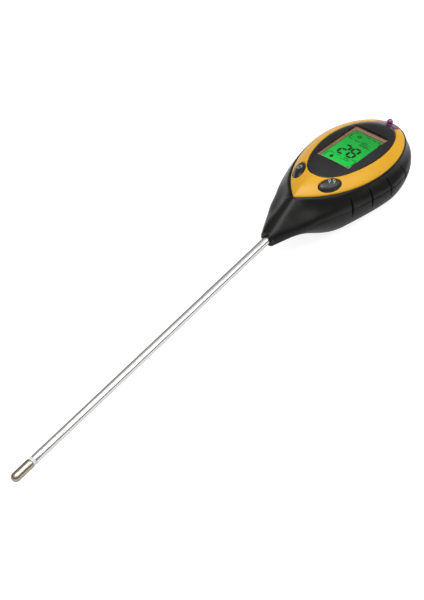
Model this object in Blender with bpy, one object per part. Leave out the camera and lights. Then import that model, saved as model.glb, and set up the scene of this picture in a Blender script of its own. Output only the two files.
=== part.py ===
"""A soil moisture meter: a leaf-shaped housing with a lit display, two keys, a light
sensor and a long metal probe, as separate sub-parts that fit each other.

The meter lies face up on its flat rear face. +Z is up, the probe points along -Y and
the sensor end of the housing along +Y. Lengths are in metres, angles in radians.
Housing measures are taken from the end of the neck, on the probe's axis.
"""

import math

import bmesh
import bpy
from mathutils import Vector

MM = 0.001
DEG = math.pi / 180

# Driving dimensions of the whole meter
PROBE_LENGTH = 202.5 * MM
HOUSING_LENGTH = 122.5 * MM
REAR_Z = -22 * MM                       # flat rear face, below the probe's axis
GAP = 0.3 * MM                          # running and assembly clearance
SINK = 1 * MM                           # how far a joined piece reaches into its neighbour
THROUGH = 20 * MM                       # length of a cut that passes right through a plate
PART_OVERLAP = 3 * MM                   # how far the hollow passes the parting line
WALL = 2 * MM

# Leaf outline of the face, measured from its centre
CENTRE_Y = 80 * MM
LEAF_HALF_WIDTH = 24.9 * MM
LEAF_FAR = 41.1 * MM
LEAF_NEAR = 55.2 * MM
TIP_POWER = 0.8
TIP_PINCH = 0.35
TIP_PINCH_POWER = 12

# Crown of the face
FACE_Z = 11.2 * MM                      # at the centre, above the probe's axis
FACE_TILT = 10.6 * DEG                  # the sensor end lies lower
CROWN_DROP = 6 * MM
CROWN_DROP_SHIFT = 1.5 * MM             # more at the tip, less at the sensor end
CROWN_POWER = 4.5

# Belt of the housing, where the front and rear shells part
BELT_HALF_WIDTH = 31 * MM
BELT_FAR = HOUSING_LENGTH - CENTRE_Y
BELT_POWER = 1.5
BELT_Z = -3.35 * MM
BELT_Z_AT = 70 * MM
BELT_SLOPE = -0.11
NECK_RADIUS = 4.6 * MM
NECK_WALL = 14 * MM                     # solid end of the neck, up to the clamping bush
BELLY_Z = -24 * MM                      # the full curve, cut flat at REAR_Z
BELLY_START = 9 * MM
BELLY_END = 46 * MM
SPINE_Z = 13.8 * MM                     # ridge height where it meets the face plate
SPINE_FLAT = 0.25 * MM                   # half width of the ridge
SPINE_END = CENTRE_Y - LEAF_NEAR - 0.5 * MM
LIP = (5.2 * MM, 1.2 * MM)              # rounding beside the spine, and beside the plate
LIP_Y = (20 * MM, 72 * MM)
ROUND_END = 12 * MM                     # length over which the neck's round section changes

# Face plate, bezel, window
PLATE_T = 1.6 * MM
PLATE_SEAT = 0.45 * MM                  # adhesive film between the plate and the shell
BEZEL_HALF_WIDTH = 17.7 * MM
BEZEL_HALF_LENGTH = 36 * MM
BEZEL_EGG = 0.04                        # wider towards the sensor end
BEZEL_T = 1.5 * MM
WINDOW = (23.6 * MM, 41.4 * MM)
WINDOW_SHIFT = 1.2 * MM                 # along the face, towards the sensor end
PANE_T = 0.9 * MM
PANE_TOP = -1.15 * MM                   # depths are along the face's normal
FRAME_TOP = -2.35 * MM
FRAME_SIZE = (27.4 * MM, 45.4 * MM)
ACTIVE = (20 * MM, 35.2 * MM)           # lit area seen in the frame
LCD_SIZE = (25 * MM, 42.6 * MM)
LCD_TOP = -3.4 * MM
LCD_T = 1.8 * MM
LIGHT_T = 1.7 * MM
STRIP_SIZE = (22 * MM, 2 * MM)
STRIP_Y = 2.3 * MM                      # from the near edge of the display glass
PCB_TOP = -10.9 * MM
PCB_T = 1.6 * MM
BOARD_OUTLINE = [(8.5 * MM, -41.5 * MM), (13 * MM, -36.5 * MM), (13 * MM, -21 * MM),
                 (18.8 * MM, -17 * MM), (18.8 * MM, -7.5 * MM)]   # right half, on the face's axes
CHIP_SIZE = (7 * MM, 7 * MM, 1.4 * MM)
CHIP_AT = (-6.5 * MM, -25 * MM, 0)

# Keys and their switches, placed on the face from its centre
KEY_X = 10.95 * MM
KEY_Y = -35.7 * MM
KEY_HALF = (3.25 * MM, 7.2 * MM)
KEY_SPLAY = 27.5 * DEG
KEY_TRAVEL = 0.6 * MM
KEY_PROUD = 0.9 * MM
SWITCH_SIDE = 4.5 * MM
SWITCH_HEIGHT = 1.9 * MM                # of the body; the plunger stands above it
PLUNGER_PROUD = 0.5 * MM
SWITCH_FLOOR = 0.5 * MM
PLUNGER_TOP = PCB_TOP + SWITCH_HEIGHT + PLUNGER_PROUD
PLUNGER_RADIUS = 1.5 * MM

# Light sensor
CAP_HALF_WIDTH = 7 * MM
CAP_START_Y = 114.4 * MM                # the cap's inner edge follows the bezel beyond this
DOME_RADIUS = 1.9 * MM
DOME_Y = 119 * MM
DOME_Z = 1.6 * MM
DOME_STEM = 3.2 * MM
PHOTODIODE_Y = DOME_Y - 1.2 * MM
PHOTODIODE_Z = -4.4 * MM
SENSOR_HOLE_RADIUS = 2.6 * MM
SENSOR_HOLE_Z = (-8 * MM, 8 * MM)
PHOTODIODE_PROFILE = [(0, -2 * MM), (1.9 * MM, -2 * MM), (1.9 * MM, 0.6 * MM),
                      (1.2 * MM, 1.4 * MM), (0, 1.6 * MM)]
PHOTODIODE_BACK = 2 * MM

# Probe
TUBE_RADIUS = 2.4 * MM
TUBE_BORE = 1.7 * MM
TUBE_END_Y = 26 * MM
TIP_RADIUS = 2.6 * MM
TIP_LENGTH = 13.3 * MM
RING_LENGTH = 2 * MM
SPIGOT_RADIUS = TUBE_BORE - GAP
SPIGOT_LENGTH = 5 * MM
BEVEL = 0.3 * MM                        # on the rear edge of the tip
TIP_FLOOR = 2.4 * MM                    # metal left in front of the bore
BEAD_PROFILE = [(0, -1.4 * MM), (0.7 * MM, -1.1 * MM), (1 * MM, 0), (0.7 * MM, 1.1 * MM),
                (0, 1.4 * MM)]
BEAD_DEPTH = 4.6 * MM                   # of the thermistor, behind the nose
NECK_BORE_START = -5 * MM
LEAD_RADIUS = 0.5 * MM
FINE_LEAD_RADIUS = 0.35 * MM
BUSH_RADIUS = 3.3 * MM
BUSH_LENGTH = 6.6 * MM
NUT_RADIUS = 4.2 * MM
NUT_LENGTH = 2.4 * MM

# Battery bay and battery
BAY_HALF_WIDTH = 14.9 * MM
BAY_Y = (51.2 * MM, 101.4 * MM)
BAY_TOP = -2.1 * MM
BAY_WALL = 1.2 * MM
POCKET_HALF_WIDTH = 13.6 * MM
POCKET_Y = 44.7 * MM
POCKET_Z = -16.9 * MM
COVER_T = 1.8 * MM
COVER_EDGE = 0.4 * MM
SCOOP_RADIUS = 9 * MM
SCOOP_DEPTH = 1.1 * MM
BAY_ROOF = 0.8 * MM
POCKET_DEPTH = 8 * MM
LEAD_SLOT = (2 * MM, 4 * MM, 3 * MM)    # beyond the leads, length, and start before the pocket
BATTERY_SIZE = (26.5 * MM, 48.5 * MM, 17.2 * MM)
BATTERY_Y = 51.7 * MM
BATTERY_STUDS = (("plus", 6.35 * MM, 2.8 * MM, 12), ("minus", -6.35 * MM, 3.8 * MM, 6))
STUD_PROUD = 1.8 * MM
BATTERY_EDGE = 1.5 * MM
SNAP_SIZE = (25 * MM, 2.2 * MM, 10.5 * MM)
BOARD_PADS_Y = -39.6 * MM               # solder pads of the leads, on the face's axes
LEAD_X = 2.6 * MM                       # of the battery leads, left and right
LEAD_SLOT_Z = (-9.8 * MM, -4 * MM)

# Fasteners: (x, y) of each housing screw, and of each board screw on the face's axes
HOUSING_SCREWS = ((0, 33 * MM), (21.6 * MM, 63 * MM), (-21.6 * MM, 63 * MM),
                  (17 * MM, 106 * MM), (-17 * MM, 106 * MM))
BOARD_SCREWS = ((0, -31 * MM), (16.4 * MM, -12 * MM), (-16.4 * MM, -12 * MM))
BOSS_RADIUS = 2.8 * MM
BOSS_CLEAR = 0.45 * MM                  # from the belt's level, which slopes across a boss
SCREW_RADIUS = 1.1 * MM
SCREW_HEAD = (2.1 * MM, 1.7 * MM)       # radius and height
SCREW_HEAD_Z = -15.2 * MM
SCREW_REACH = 3.3 * MM                  # thread length above the parting line
BOARD_SCREW_RADIUS = 0.9 * MM
BOARD_SCREW_HEAD = (1.8 * MM, 1.2 * MM)
BOARD_BOSS_RADIUS = 2 * MM
BOARD_BOSS_TOP = -5 * MM
BOARD_SCREW_END = -6.8 * MM
BELOW = -30 * MM                        # start of a cut that passes out through the rear
FACE_CUT = (-11 * MM, 6 * MM)           # depths of a cut through the face, on its own axes

# Grip grooves on the belt
GROOVE_Y = (48 * MM, 62 * MM, 77 * MM, 93 * MM)
GROOVE_REACH = (-6.8 * MM, 7.6 * MM)    # lower and upper ends, from the belt
GROOVE_HALF_WIDTH = 1.1 * MM
GROOVE_DEPTH = 1.2 * MM
GROOVE_ENDS = 0.3                       # width at its ends, as a share of its middle
GROOVE_SPAN = 0.96                      # share of the lens that is cut

ROUND = 24                              # sides of a small round piece
FACE_NORMAL = Vector((0, math.sin(FACE_TILT), math.cos(FACE_TILT)))

BLACK_ABS = ("black_abs", (0.022, 0.022, 0.023), 0.42, 0)
YELLOW_ABS = ("yellow_abs", (0.75, 0.40, 0.035), 0.38, 0)
BLACK_GLOSS = ("black_gloss", (0.012, 0.012, 0.014), 0.12, 0)
CLEAR = ("clear_acrylic", (0.9, 0.93, 0.93), 0.05, 0)
BRONZE = ("bronze_plastic", (0.30, 0.20, 0.15), 0.45, 0)
LCD_GREEN = ("lcd_green", (0.02, 0.62, 0.12), 0.2, 0)
MILKY = ("milky_acrylic", (0.8, 0.85, 0.8), 0.35, 0)
PURPLE = ("purple_acrylic", (0.22, 0.03, 0.20), 0.15, 0)
BOARD_GREEN = ("board_green", (0.02, 0.20, 0.07), 0.45, 0)
STEEL = ("steel", (0.62, 0.62, 0.62), 0.22, 1)
NICKEL = ("nickel", (0.55, 0.50, 0.44), 0.3, 1)
WHITE_PLASTIC = ("white_plastic", (0.75, 0.73, 0.68), 0.5, 0)
RUBBER = ("grey_rubber", (0.08, 0.08, 0.09), 0.8, 0)
RED = ("red_insulation", (0.6, 0.03, 0.03), 0.45, 0)
BLACK_INSULATION = ("black_insulation", (0.02, 0.02, 0.02), 0.45, 0)
BATTERY_SHELL = ("battery_shell", (0.05, 0.07, 0.16), 0.3, 0)


# ---------------------------------------------------------------- scene and meshes

def clear_scene():
    for obj in list(bpy.data.objects):
        bpy.data.objects.remove(obj, do_unlink=True)


def material(spec):
    name, colour, roughness, metallic = spec
    made = bpy.data.materials.get(name)
    if made:
        return made
    made = bpy.data.materials.new(name)
    made.use_nodes = True
    shader = made.node_tree.nodes["Principled BSDF"]
    shader.inputs["Base Color"].default_value = (*colour, 1)
    shader.inputs["Roughness"].default_value = roughness
    shader.inputs["Metallic"].default_value = metallic
    return made


def datum(name, location, rotation=(0, 0, 0), parent=None):
    empty = bpy.data.objects.new(name, None)
    empty.empty_display_size = 0.01
    empty.parent = parent
    empty.location = location
    empty.rotation_euler = rotation
    bpy.context.collection.objects.link(empty)
    return empty


def place(name, mesh, spec, parent, location=(0, 0, 0), rotation=(0, 0, 0)):
    """A mesh as a named object under its parent."""
    if isinstance(mesh, bmesh.types.BMesh):
        bmesh.ops.recalc_face_normals(mesh, faces=mesh.faces)
        data = bpy.data.meshes.new(name)
        mesh.to_mesh(data)
        mesh.free()
    else:
        data = mesh
    data.shade_smooth()
    data.set_sharp_from_angle(angle=35 * DEG)
    data.materials.append(material(spec))
    obj = bpy.data.objects.new(name, data)
    obj.parent = parent
    obj.location = location
    obj.rotation_euler = rotation
    bpy.context.collection.objects.link(obj)
    return obj


def combine(target, tool, operation):
    """Adds, cuts or intersects with a tool, which stays in the file as a hidden guide."""
    tool.hide_render = True
    tool.display_type = "WIRE"
    boolean = target.modifiers.new(operation.lower() + "_" + tool.name, "BOOLEAN")
    boolean.operation = operation
    boolean.object = tool
    # The thin curved shells come out open from EXACT, so they use the stricter solver.
    boolean.solver = "MANIFOLD" if target.name.endswith("_shell") else "EXACT"


def cut(target, tool):
    combine(target, tool, "DIFFERENCE")


def add(target, tool):
    combine(target, tool, "UNION")


def block(size, low=(0, 0, 0)):
    """A box with its lowest corner at low."""
    mesh = bmesh.new()
    bmesh.ops.create_cube(mesh, size=1)
    bmesh.ops.scale(mesh, vec=size, verts=mesh.verts)
    centre = [low[i] + size[i] / 2 for i in range(3)]
    bmesh.ops.translate(mesh, vec=centre, verts=mesh.verts)
    return mesh


def slab(size, bottom, top, shift_y=0):
    """A box centred on the Z axis, between two heights."""
    low = (-size[0] / 2, shift_y - size[1] / 2, bottom)
    return block((size[0], size[1], top - bottom), low)


def loft(rings):
    """Quads between closed rings of points, with a face over each end."""
    mesh = bmesh.new()
    rows = [[mesh.verts.new(point) for point in ring] for ring in rings]
    count = len(rows[0])
    for one, two in zip(rows, rows[1:]):
        for i in range(count):
            after = (i + 1) % count
            mesh.faces.new((one[i], one[after], two[after], two[i]))
    mesh.faces.new(rows[0])
    mesh.faces.new(rows[-1])
    return mesh


def prism(outline, bottom, top):
    return loft([[(x, y, z) for x, y in outline] for z in (bottom, top)])


def ellipse(half_x, half_y, count=ROUND, turn=0, centre=(0, 0)):
    points = []
    for i in range(count):
        angle = 2 * math.pi * (i + 0.5) / count
        x, y = half_x * math.cos(angle), half_y * math.sin(angle)
        points.append((centre[0] + x * math.cos(turn) - y * math.sin(turn),
                       centre[1] + x * math.sin(turn) + y * math.cos(turn)))
    return points


def rod(radius, bottom, top, centre=(0, 0), count=16):
    return prism(ellipse(radius, radius, count, centre=centre), bottom, top)


def turned(profile, count=ROUND):
    """A profile of (radius, y) points turned about the Y axis; it may touch the axis."""
    mesh = bmesh.new()
    corners = [mesh.verts.new((radius, y, 0)) for radius, y in profile]
    edges = [mesh.edges.new((corners[i], corners[(i + 1) % len(corners)]))
             for i in range(len(corners))]
    bmesh.ops.spin(mesh, geom=corners + edges, cent=(0, 0, 0), axis=(0, 1, 0),
                   angle=2 * math.pi, steps=count, use_merge=True)
    bmesh.ops.remove_doubles(mesh, verts=mesh.verts, dist=1e-6)
    bmesh.ops.dissolve_degenerate(mesh, edges=mesh.edges, dist=1e-6)
    loose = [edge for edge in mesh.edges if not edge.link_faces]
    bmesh.ops.delete(mesh, geom=loose, context="EDGES")
    return mesh


def ball(radius, centre, segments=ROUND, rings=12):
    mesh = bmesh.new()
    bmesh.ops.create_uvsphere(mesh, u_segments=segments, v_segments=rings, radius=radius)
    bmesh.ops.translate(mesh, vec=centre, verts=mesh.verts)
    return mesh


def grid_solid(columns):
    """Quads between columns of points. The first and last point of every column lie on
    the middle plane, where the right and left halves are welded together."""
    mesh = bmesh.new()
    rows = [[mesh.verts.new(point) for point in column] for column in columns]
    mesh.faces.new(rows[0] + rows[-1][-2:0:-1])
    for one, two in zip(rows, rows[1:]):
        for i in range(len(one) - 1):
            mesh.faces.new((one[i], one[i + 1], two[i + 1], two[i]))
    bmesh.ops.remove_doubles(mesh, verts=mesh.verts, dist=1e-6)
    bmesh.ops.dissolve_degenerate(mesh, edges=mesh.edges, dist=1e-6)
    return mesh


# ---------------------------------------------------------------- the housing's form

def ease(value):
    value = min(max(value, 0), 1)
    return value * value * (3 - 2 * value)


def blend(start, end, amount):
    return start + (end - start) * amount


def leaf_half_width(y):
    """Half width of the face at distance y from the neck end, near side of its centre."""
    s = min(max((CENTRE_Y - y) / LEAF_NEAR, 0), 1)
    pinch = 1 - TIP_PINCH * s ** TIP_PINCH_POWER
    return LEAF_HALF_WIDTH * (1 - s * s) ** TIP_POWER * pinch


def leaf_radius(angle):
    """Distance from the face's centre to its outline; angle 0 is the sensor end."""
    sine, cosine = abs(math.sin(angle)), math.cos(angle)
    if cosine >= 0:
        return 1 / math.hypot(sine / LEAF_HALF_WIDTH, cosine / LEAF_FAR)
    low, high = 0.0, LEAF_NEAR
    for _ in range(40):
        middle = (low + high) / 2
        outside = leaf_half_width(CENTRE_Y - middle) * -cosine < middle * sine
        low, high = (low, middle) if outside else (middle, high)
    return low / -cosine if cosine < -1e-6 else LEAF_HALF_WIDTH


def crown(x, y):
    """Height of the face's surface."""
    angle = math.atan2(abs(x), y - CENTRE_Y)
    share = math.hypot(x, y - CENTRE_Y) / leaf_radius(angle)
    drop = CROWN_DROP - CROWN_DROP_SHIFT * math.cos(angle)
    return FACE_Z - math.tan(FACE_TILT) * (y - CENTRE_Y) - drop * share ** CROWN_POWER


def belt_half_width(y):
    near = 1 - max(y, 0) / CENTRE_Y
    return NECK_RADIUS + (BELT_HALF_WIDTH - NECK_RADIUS) * (1 - max(near, 0) ** BELT_POWER)


def belt_z(y):
    return (BELT_Z + BELT_SLOPE * (y - BELT_Z_AT)) * ease(y / (50 * MM))


def belly_z(y):
    share = ease((y - BELLY_START) / (BELLY_END - BELLY_START))
    return blend(-NECK_RADIUS, BELLY_Z, share)


def bezier(controls, t):
    u = 1 - t
    weights = (u ** 4, 4 * u ** 3 * t, 6 * u * u * t * t, 4 * u * t ** 3, t ** 4)
    return tuple(sum(w * p[i] for w, p in zip(weights, controls)) for i in (0, 1))


def shoulder(rim, belt, reach, steps=8):
    """Wall from beside the face plate to the belt, as (outward, z) points: a rounded lip, a
    hollow under it, and a flank that swells to the belt. At the neck's end it is plain round."""
    drop, width = rim[1] - belt[1], belt[0] - rim[0]
    lip = blend(*LIP, ease((reach - LIP_Y[0]) / (LIP_Y[1] - LIP_Y[0])))
    waist = ((rim[0] + lip, rim[1] - 0.1 * lip), (rim[0] + 1.15 * lip, rim[1] - 0.62 * drop),
             (belt[0], belt[1] + 0.5 * drop))
    plain = ((rim[0] + 0.35 * width, rim[1]), (belt[0] - 0.15 * width, rim[1] - 0.15 * drop),
             (belt[0], belt[1] + 0.45 * drop))
    share = ease((reach - 2 * MM) / ROUND_END)
    middle = [tuple(blend(a, b, share) for a, b in zip(one, two)) for one, two in zip(plain, waist)]
    return [bezier((rim, *middle, belt), i / steps) for i in range(steps + 1)]


def belly(belt, bottom, power, steps=6):
    """Wall from the belt down to the rear face, as (outward, z) points."""
    depth = belt[1] - bottom
    flat = min((belt[1] - REAR_Z) / depth, 1) ** (power / 2)
    last = min(math.asin(flat), 80 * DEG)
    points = []
    for i in range(1, steps + 1):
        angle = last * i / steps
        z = belt[1] - depth * math.sin(angle) ** (2 / power)
        points.append((belt[0] * math.cos(angle) ** (2 / power), max(z, REAR_Z)))
    return points + [(0, points[-1][1] if points[-1][1] <= REAR_Z else bottom)]


def near_column(y):
    """(outward, z) points of the upper and lower halves of the housing at one station."""
    width = leaf_half_width(y)
    under = PLATE_T + PLATE_SEAT
    if y < SPINE_END:
        top = blend(NECK_RADIUS, SPINE_Z, y / SPINE_END)
        roof = [(0, top), (SPINE_FLAT / 2, top)]
        rim = (SPINE_FLAT, top)
    else:
        width = max(width, SPINE_FLAT)
        roof = [(width * k, crown(width * k, y) - under) for k in (0, 0.6)]
        rim = (width, crown(width, y) - under)
    belt = (belt_half_width(y), belt_z(y))
    power = 2.1 + 0.75 * (y / CENTRE_Y) ** 2
    return roof + shoulder(rim, belt, y), belly(belt, belly_z(y), power)


def far_column(angle):
    """The same on a plane through the face's centre, turned from the sensor end."""
    radius = leaf_radius(angle)
    sine, cosine = math.sin(angle), math.cos(angle)
    under = PLATE_T + PLATE_SEAT
    height = [crown(radius * k * sine, CENTRE_Y + radius * k * cosine) - under
              for k in (0, 0.6, 1)]
    reach = 1 / math.hypot(sine / BELT_HALF_WIDTH, cosine / BELT_FAR)
    belt = (reach, belt_z(CENTRE_Y + reach * cosine))
    roof = [(0, height[0]), (radius * 0.6, height[1])]
    power = 2.85 - 0.35 * cosine ** 2
    return roof + shoulder((radius, height[2]), belt, CENTRE_Y), belly(belt, BELLY_Z, power)


def inset(points, distance):
    """Moves (outward, z) points inwards along the curve's own normal."""
    moved = []
    for i, (out, z) in enumerate(points):
        before = points[max(i - 1, 0)]
        after = points[min(i + 1, len(points) - 1)]
        along = Vector((after[0] - before[0], after[1] - before[1])).normalized()
        least = i * 0.05 * MM
        moved.append((max(out + along.y * distance, least), z - along.x * distance))
    return [(0, points[0][1] - distance)] + moved[1:]


def column_half(upper, lower, front, distance, overshoot):
    """The closed half section of one shell: its outer curve and the parting face."""
    if front:
        curve = inset(upper, distance) if distance else upper
        part = curve[-1][1] + GAP / 2 - overshoot
        return curve[:-1] + [(curve[-1][0], part), (0, part)]
    curve = [upper[-1]] + lower
    if distance:
        flipped = inset([(out, -z) for out, z in curve[::-1]], distance)
        curve = [(out, -z) for out, z in flipped][::-1]
    part = curve[0][1] - GAP / 2 + overshoot
    return [(0, part), (curve[0][0], part)] + curve[1:]


def shell_body(front, distance=0, overshoot=0, start=0):
    """The front or rear half of the housing's form, inset for the inside of the wall."""
    near = (0, 4, 9, 15, 20, 24.1, 24.5, 30, 36, 42.5, 49, 57, 68)
    stations = [start] + [y * MM for y in near if y * MM > start]
    spread = 20
    angles = [math.pi / 2 - math.pi * i / spread for i in range(spread + 1)]
    right = []
    for y in stations:
        half = column_half(*near_column(y), front, distance, overshoot)
        right.append([(out, y, z) for out, z in half])
    fan = []
    for angle in angles:
        half = column_half(*far_column(angle), front, distance, overshoot)
        fan.append([(out * math.sin(angle), CENTRE_Y + out * math.cos(angle), z)
                    for out, z in half])
    left = [[(-x, y, z) for x, y, z in column] for column in right[::-1]]
    return grid_solid(right + fan + left)


def annulus(inner, outer, top, bottom, spread=56, steps=3):
    """A crowned ring between two polar outlines; top and bottom give heights at (x, y)."""
    mesh = bmesh.new()
    rings = []
    for i in range(spread):
        angle = 2 * math.pi * i / spread
        low, high = inner(angle), outer(angle)
        upper, lower = [], []
        for k in range(steps + 1):
            radius = blend(low, high, k / steps)
            x, y = radius * math.sin(angle), CENTRE_Y + radius * math.cos(angle)
            upper.append(mesh.verts.new((x, y, top(x, y))))
            lower.append(mesh.verts.new((x, y, bottom(x, y))))
        rings.append(upper + lower[::-1])
    for i in range(spread):
        one, two = rings[i], rings[(i + 1) % spread]
        for k in range(len(one)):
            after = (k + 1) % len(one)
            mesh.faces.new((one[k], one[after], two[after], two[k]))
    return mesh


def bezel_radius(angle):
    cosine = math.cos(angle)
    half_width = BEZEL_HALF_WIDTH * (1 + BEZEL_EGG * cosine)
    return 1 / math.hypot(math.sin(angle) / half_width, cosine / BEZEL_HALF_LENGTH)


def belt_point(y, side):
    """A point on the belt and its outward direction in plan."""
    if y <= CENTRE_Y:
        step = 0.1 * MM
        slope = (belt_half_width(y + step) - belt_half_width(y)) / step
        point = (side * belt_half_width(y), y)
        outward = Vector((1, -slope)).normalized()
    else:
        share = (y - CENTRE_Y) / BELT_FAR
        x = BELT_HALF_WIDTH * math.sqrt(1 - share * share)
        point = (side * x, y)
        outward = Vector((x / BELT_HALF_WIDTH ** 2, (y - CENTRE_Y) / BELT_FAR ** 2)).normalized()
    return point, math.atan2(outward.y, side * outward.x)


def on_face(x, along, depth=0):
    """Housing coordinates of a point given on the tilted face's own axes."""
    y = CENTRE_Y + along * math.cos(FACE_TILT) + depth * math.sin(FACE_TILT)
    z = FACE_Z - along * math.sin(FACE_TILT) + depth * math.cos(FACE_TILT)
    return Vector((x, y, z))


# ---------------------------------------------------------------- shells and covers

def key_outline(side, grow=0):
    return ellipse(KEY_HALF[0] + grow, KEY_HALF[1] + grow, 24, -side * KEY_SPLAY,
                   (side * KEY_X, KEY_Y))


def face_cutter(name, outline, face, depths=FACE_CUT):
    return place(name, prism(outline, *depths), BLACK_ABS, face)


def rectangle(size, shift_y=0):
    x, y = size[0] / 2, size[1] / 2
    return [(-x, shift_y - y), (x, shift_y - y), (x, shift_y + y), (-x, shift_y + y)]


def skin_offset(y, rise):
    """How far the skin lies from the belt, along its outward direction, at a height from it."""
    upper, lower = near_column(y) if y <= CENTRE_Y else far_column(math.acos((y - CENTRE_Y) / BELT_FAR))
    belt = upper[-1]
    wall = upper if rise > 0 else [belt] + lower
    for one, two in zip(wall, wall[1:]):
        low, high = sorted((one, two), key=lambda point: point[1])
        if low[1] <= belt[1] + rise <= high[1]:
            share = (belt[1] + rise - low[1]) / max(high[1] - low[1], 1e-9)
            return blend(low[0], high[0], share) - belt[0]
    return 0


def groove_tool(y, steps=8):
    """A lens-shaped notch that follows the skin across the belt; +X is outward."""
    rings = []
    for i in range(steps + 1):
        share = GROOVE_SPAN * (2 * i / steps - 1)
        rise = blend(*GROOVE_REACH, (share + 1) / 2)
        deep = 1 - share * share
        skin = skin_offset(y, rise)
        half = GROOVE_HALF_WIDTH * blend(GROOVE_ENDS, 1, deep)
        mouth, bottom = skin + GROOVE_DEPTH, skin - GROOVE_DEPTH * deep
        rings.append([(mouth, -half, rise), (bottom, -half / 3, rise),
                      (bottom, half / 3, rise), (mouth, half, rise)])
    return loft(rings)


def cut_grooves(shell, housing, label):
    for side in (1, -1):
        for number, y in enumerate(GROOVE_Y, 1):
            (x, _), turn = belt_point(y, side)
            name = f"groove_{label}_{'right' if side > 0 else 'left'}_{number}"
            tool = place(name, groove_tool(y), BLACK_ABS, housing, (x, y, belt_z(y)), (0, 0, turn))
            cut(shell, tool)


def within_wall(boss, front):
    """Trims a boss to end inside the thickness of its shell's wall."""
    form = shell_body(front, WALL / 2)
    combine(boss, place(boss.name + "_limit", form, BLACK_ABS, boss.parent), "INTERSECT")
    return boss


def make_front_shell(housing, face):
    shell = place("front_shell", shell_body(True), BLACK_ABS, housing)
    inside = shell_body(True, WALL, PART_OVERLAP, NECK_WALL)
    cut(shell, place("front_shell_inside", inside, BLACK_ABS, housing))
    for number, (x, y) in enumerate(HOUSING_SCREWS, 1):
        boss = rod(BOSS_RADIUS, belt_z(y) + BOSS_CLEAR, crown(x, y), (x, y))
        add(shell, within_wall(place(f"front_boss_{number}", boss, BLACK_ABS, housing), True))
    for number, (x, y) in enumerate(BOARD_SCREWS, 1):
        boss = rod(BOARD_BOSS_RADIUS, PCB_TOP + GAP, BOARD_BOSS_TOP, (x, y))
        add(shell, place(f"board_boss_{number}", boss, BLACK_ABS, face))
    for number, (x, y) in enumerate(HOUSING_SCREWS, 1):
        hole = rod(SCREW_RADIUS + GAP, BELOW, belt_z(y) + SCREW_REACH + GAP, (x, y), 8)
        cut(shell, place(f"front_screw_hole_{number}", hole, BLACK_ABS, housing))
    for number, (x, y) in enumerate(BOARD_SCREWS, 1):
        hole = rod(BOARD_SCREW_RADIUS + GAP, BELOW, BOARD_SCREW_END + GAP, (x, y), 8)
        cut(shell, place(f"board_screw_hole_{number}", hole, BLACK_ABS, face))
    opening = (FRAME_SIZE[0] + 2 * GAP, FRAME_SIZE[1] + 2 * GAP)
    cut(shell, face_cutter("display_opening", rectangle(opening, WINDOW_SHIFT), face))
    for side, name in ((-1, "on_key_hole"), (1, "mode_key_hole")):
        cut(shell, face_cutter(name, key_outline(side, GAP), face))
    sensor = rod(SENSOR_HOLE_RADIUS, *SENSOR_HOLE_Z, (0, PHOTODIODE_Y), 12)
    cut(shell, place("sensor_hole", sensor, BLACK_ABS, housing))
    cut(shell, place("front_bore", neck_bore(), BLACK_ABS, housing))
    cut_grooves(shell, housing, "front")
    return shell


def neck_bore():
    radius, start, end = TUBE_RADIUS + GAP, NECK_BORE_START, NECK_WALL + SINK
    return turned([(0, start), (radius, start), (radius, end), (0, end)])


def make_rear_shell(housing):
    shell = place("rear_shell", shell_body(False), BLACK_ABS, housing)
    inside = shell_body(False, WALL, PART_OVERLAP, NECK_WALL)
    cut(shell, place("rear_shell_inside", inside, BLACK_ABS, housing))
    bay = block((2 * (BAY_HALF_WIDTH + BAY_WALL), BAY_Y[1] - BAY_Y[0] + 2 * BAY_WALL,
                 BAY_TOP + BAY_ROOF - (REAR_Z + SINK)),
                (-BAY_HALF_WIDTH - BAY_WALL, BAY_Y[0] - BAY_WALL, REAR_Z + SINK))
    add(shell, place("bay_walls", bay, BLACK_ABS, housing))
    pocket = block((2 * (POCKET_HALF_WIDTH + BAY_WALL), BAY_Y[0] - POCKET_Y + BAY_WALL / 2,
                    BAY_TOP + BAY_ROOF - (POCKET_Z - BAY_WALL)),
                   (-POCKET_HALF_WIDTH - BAY_WALL, POCKET_Y - BAY_WALL, POCKET_Z - BAY_WALL))
    add(shell, place("pocket_walls", pocket, BLACK_ABS, housing))
    for number, (x, y) in enumerate(HOUSING_SCREWS, 1):
        boss = rod(BOSS_RADIUS, REAR_Z, belt_z(y) - BOSS_CLEAR, (x, y))
        add(shell, within_wall(place(f"rear_boss_{number}", boss, BLACK_ABS, housing), False))
    cavity = block((2 * BAY_HALF_WIDTH, BAY_Y[1] - BAY_Y[0], BAY_TOP - BELOW),
                   (-BAY_HALF_WIDTH, BAY_Y[0], BELOW))
    cut(shell, place("bay_cavity", cavity, BLACK_ABS, housing))
    space = block((2 * POCKET_HALF_WIDTH, POCKET_DEPTH, BAY_TOP - POCKET_Z),
                  (-POCKET_HALF_WIDTH, POCKET_Y, POCKET_Z))
    cut(shell, place("pocket_cavity", space, BLACK_ABS, housing))
    beyond, long, before = LEAD_SLOT
    slot = block((2 * (LEAD_X + beyond), long, LEAD_SLOT_Z[1] - LEAD_SLOT_Z[0]),
                 (-LEAD_X - beyond, POCKET_Y - before, LEAD_SLOT_Z[0]))
    cut(shell, place("lead_slot", slot, BLACK_ABS, housing))
    for number, (x, y) in enumerate(HOUSING_SCREWS, 1):
        hole = rod(SCREW_RADIUS + GAP, BELOW, belt_z(y) + SCREW_REACH, (x, y), 8)
        cut(shell, place(f"rear_screw_hole_{number}", hole, BLACK_ABS, housing))
        well = rod(SCREW_HEAD[0] + GAP, BELOW, SCREW_HEAD_Z + SCREW_HEAD[1] + GAP, (x, y))
        cut(shell, place(f"rear_screw_well_{number}", well, BLACK_ABS, housing))
    cut(shell, place("rear_bore", neck_bore(), BLACK_ABS, housing))
    cut_grooves(shell, housing, "rear")
    return shell


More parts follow.
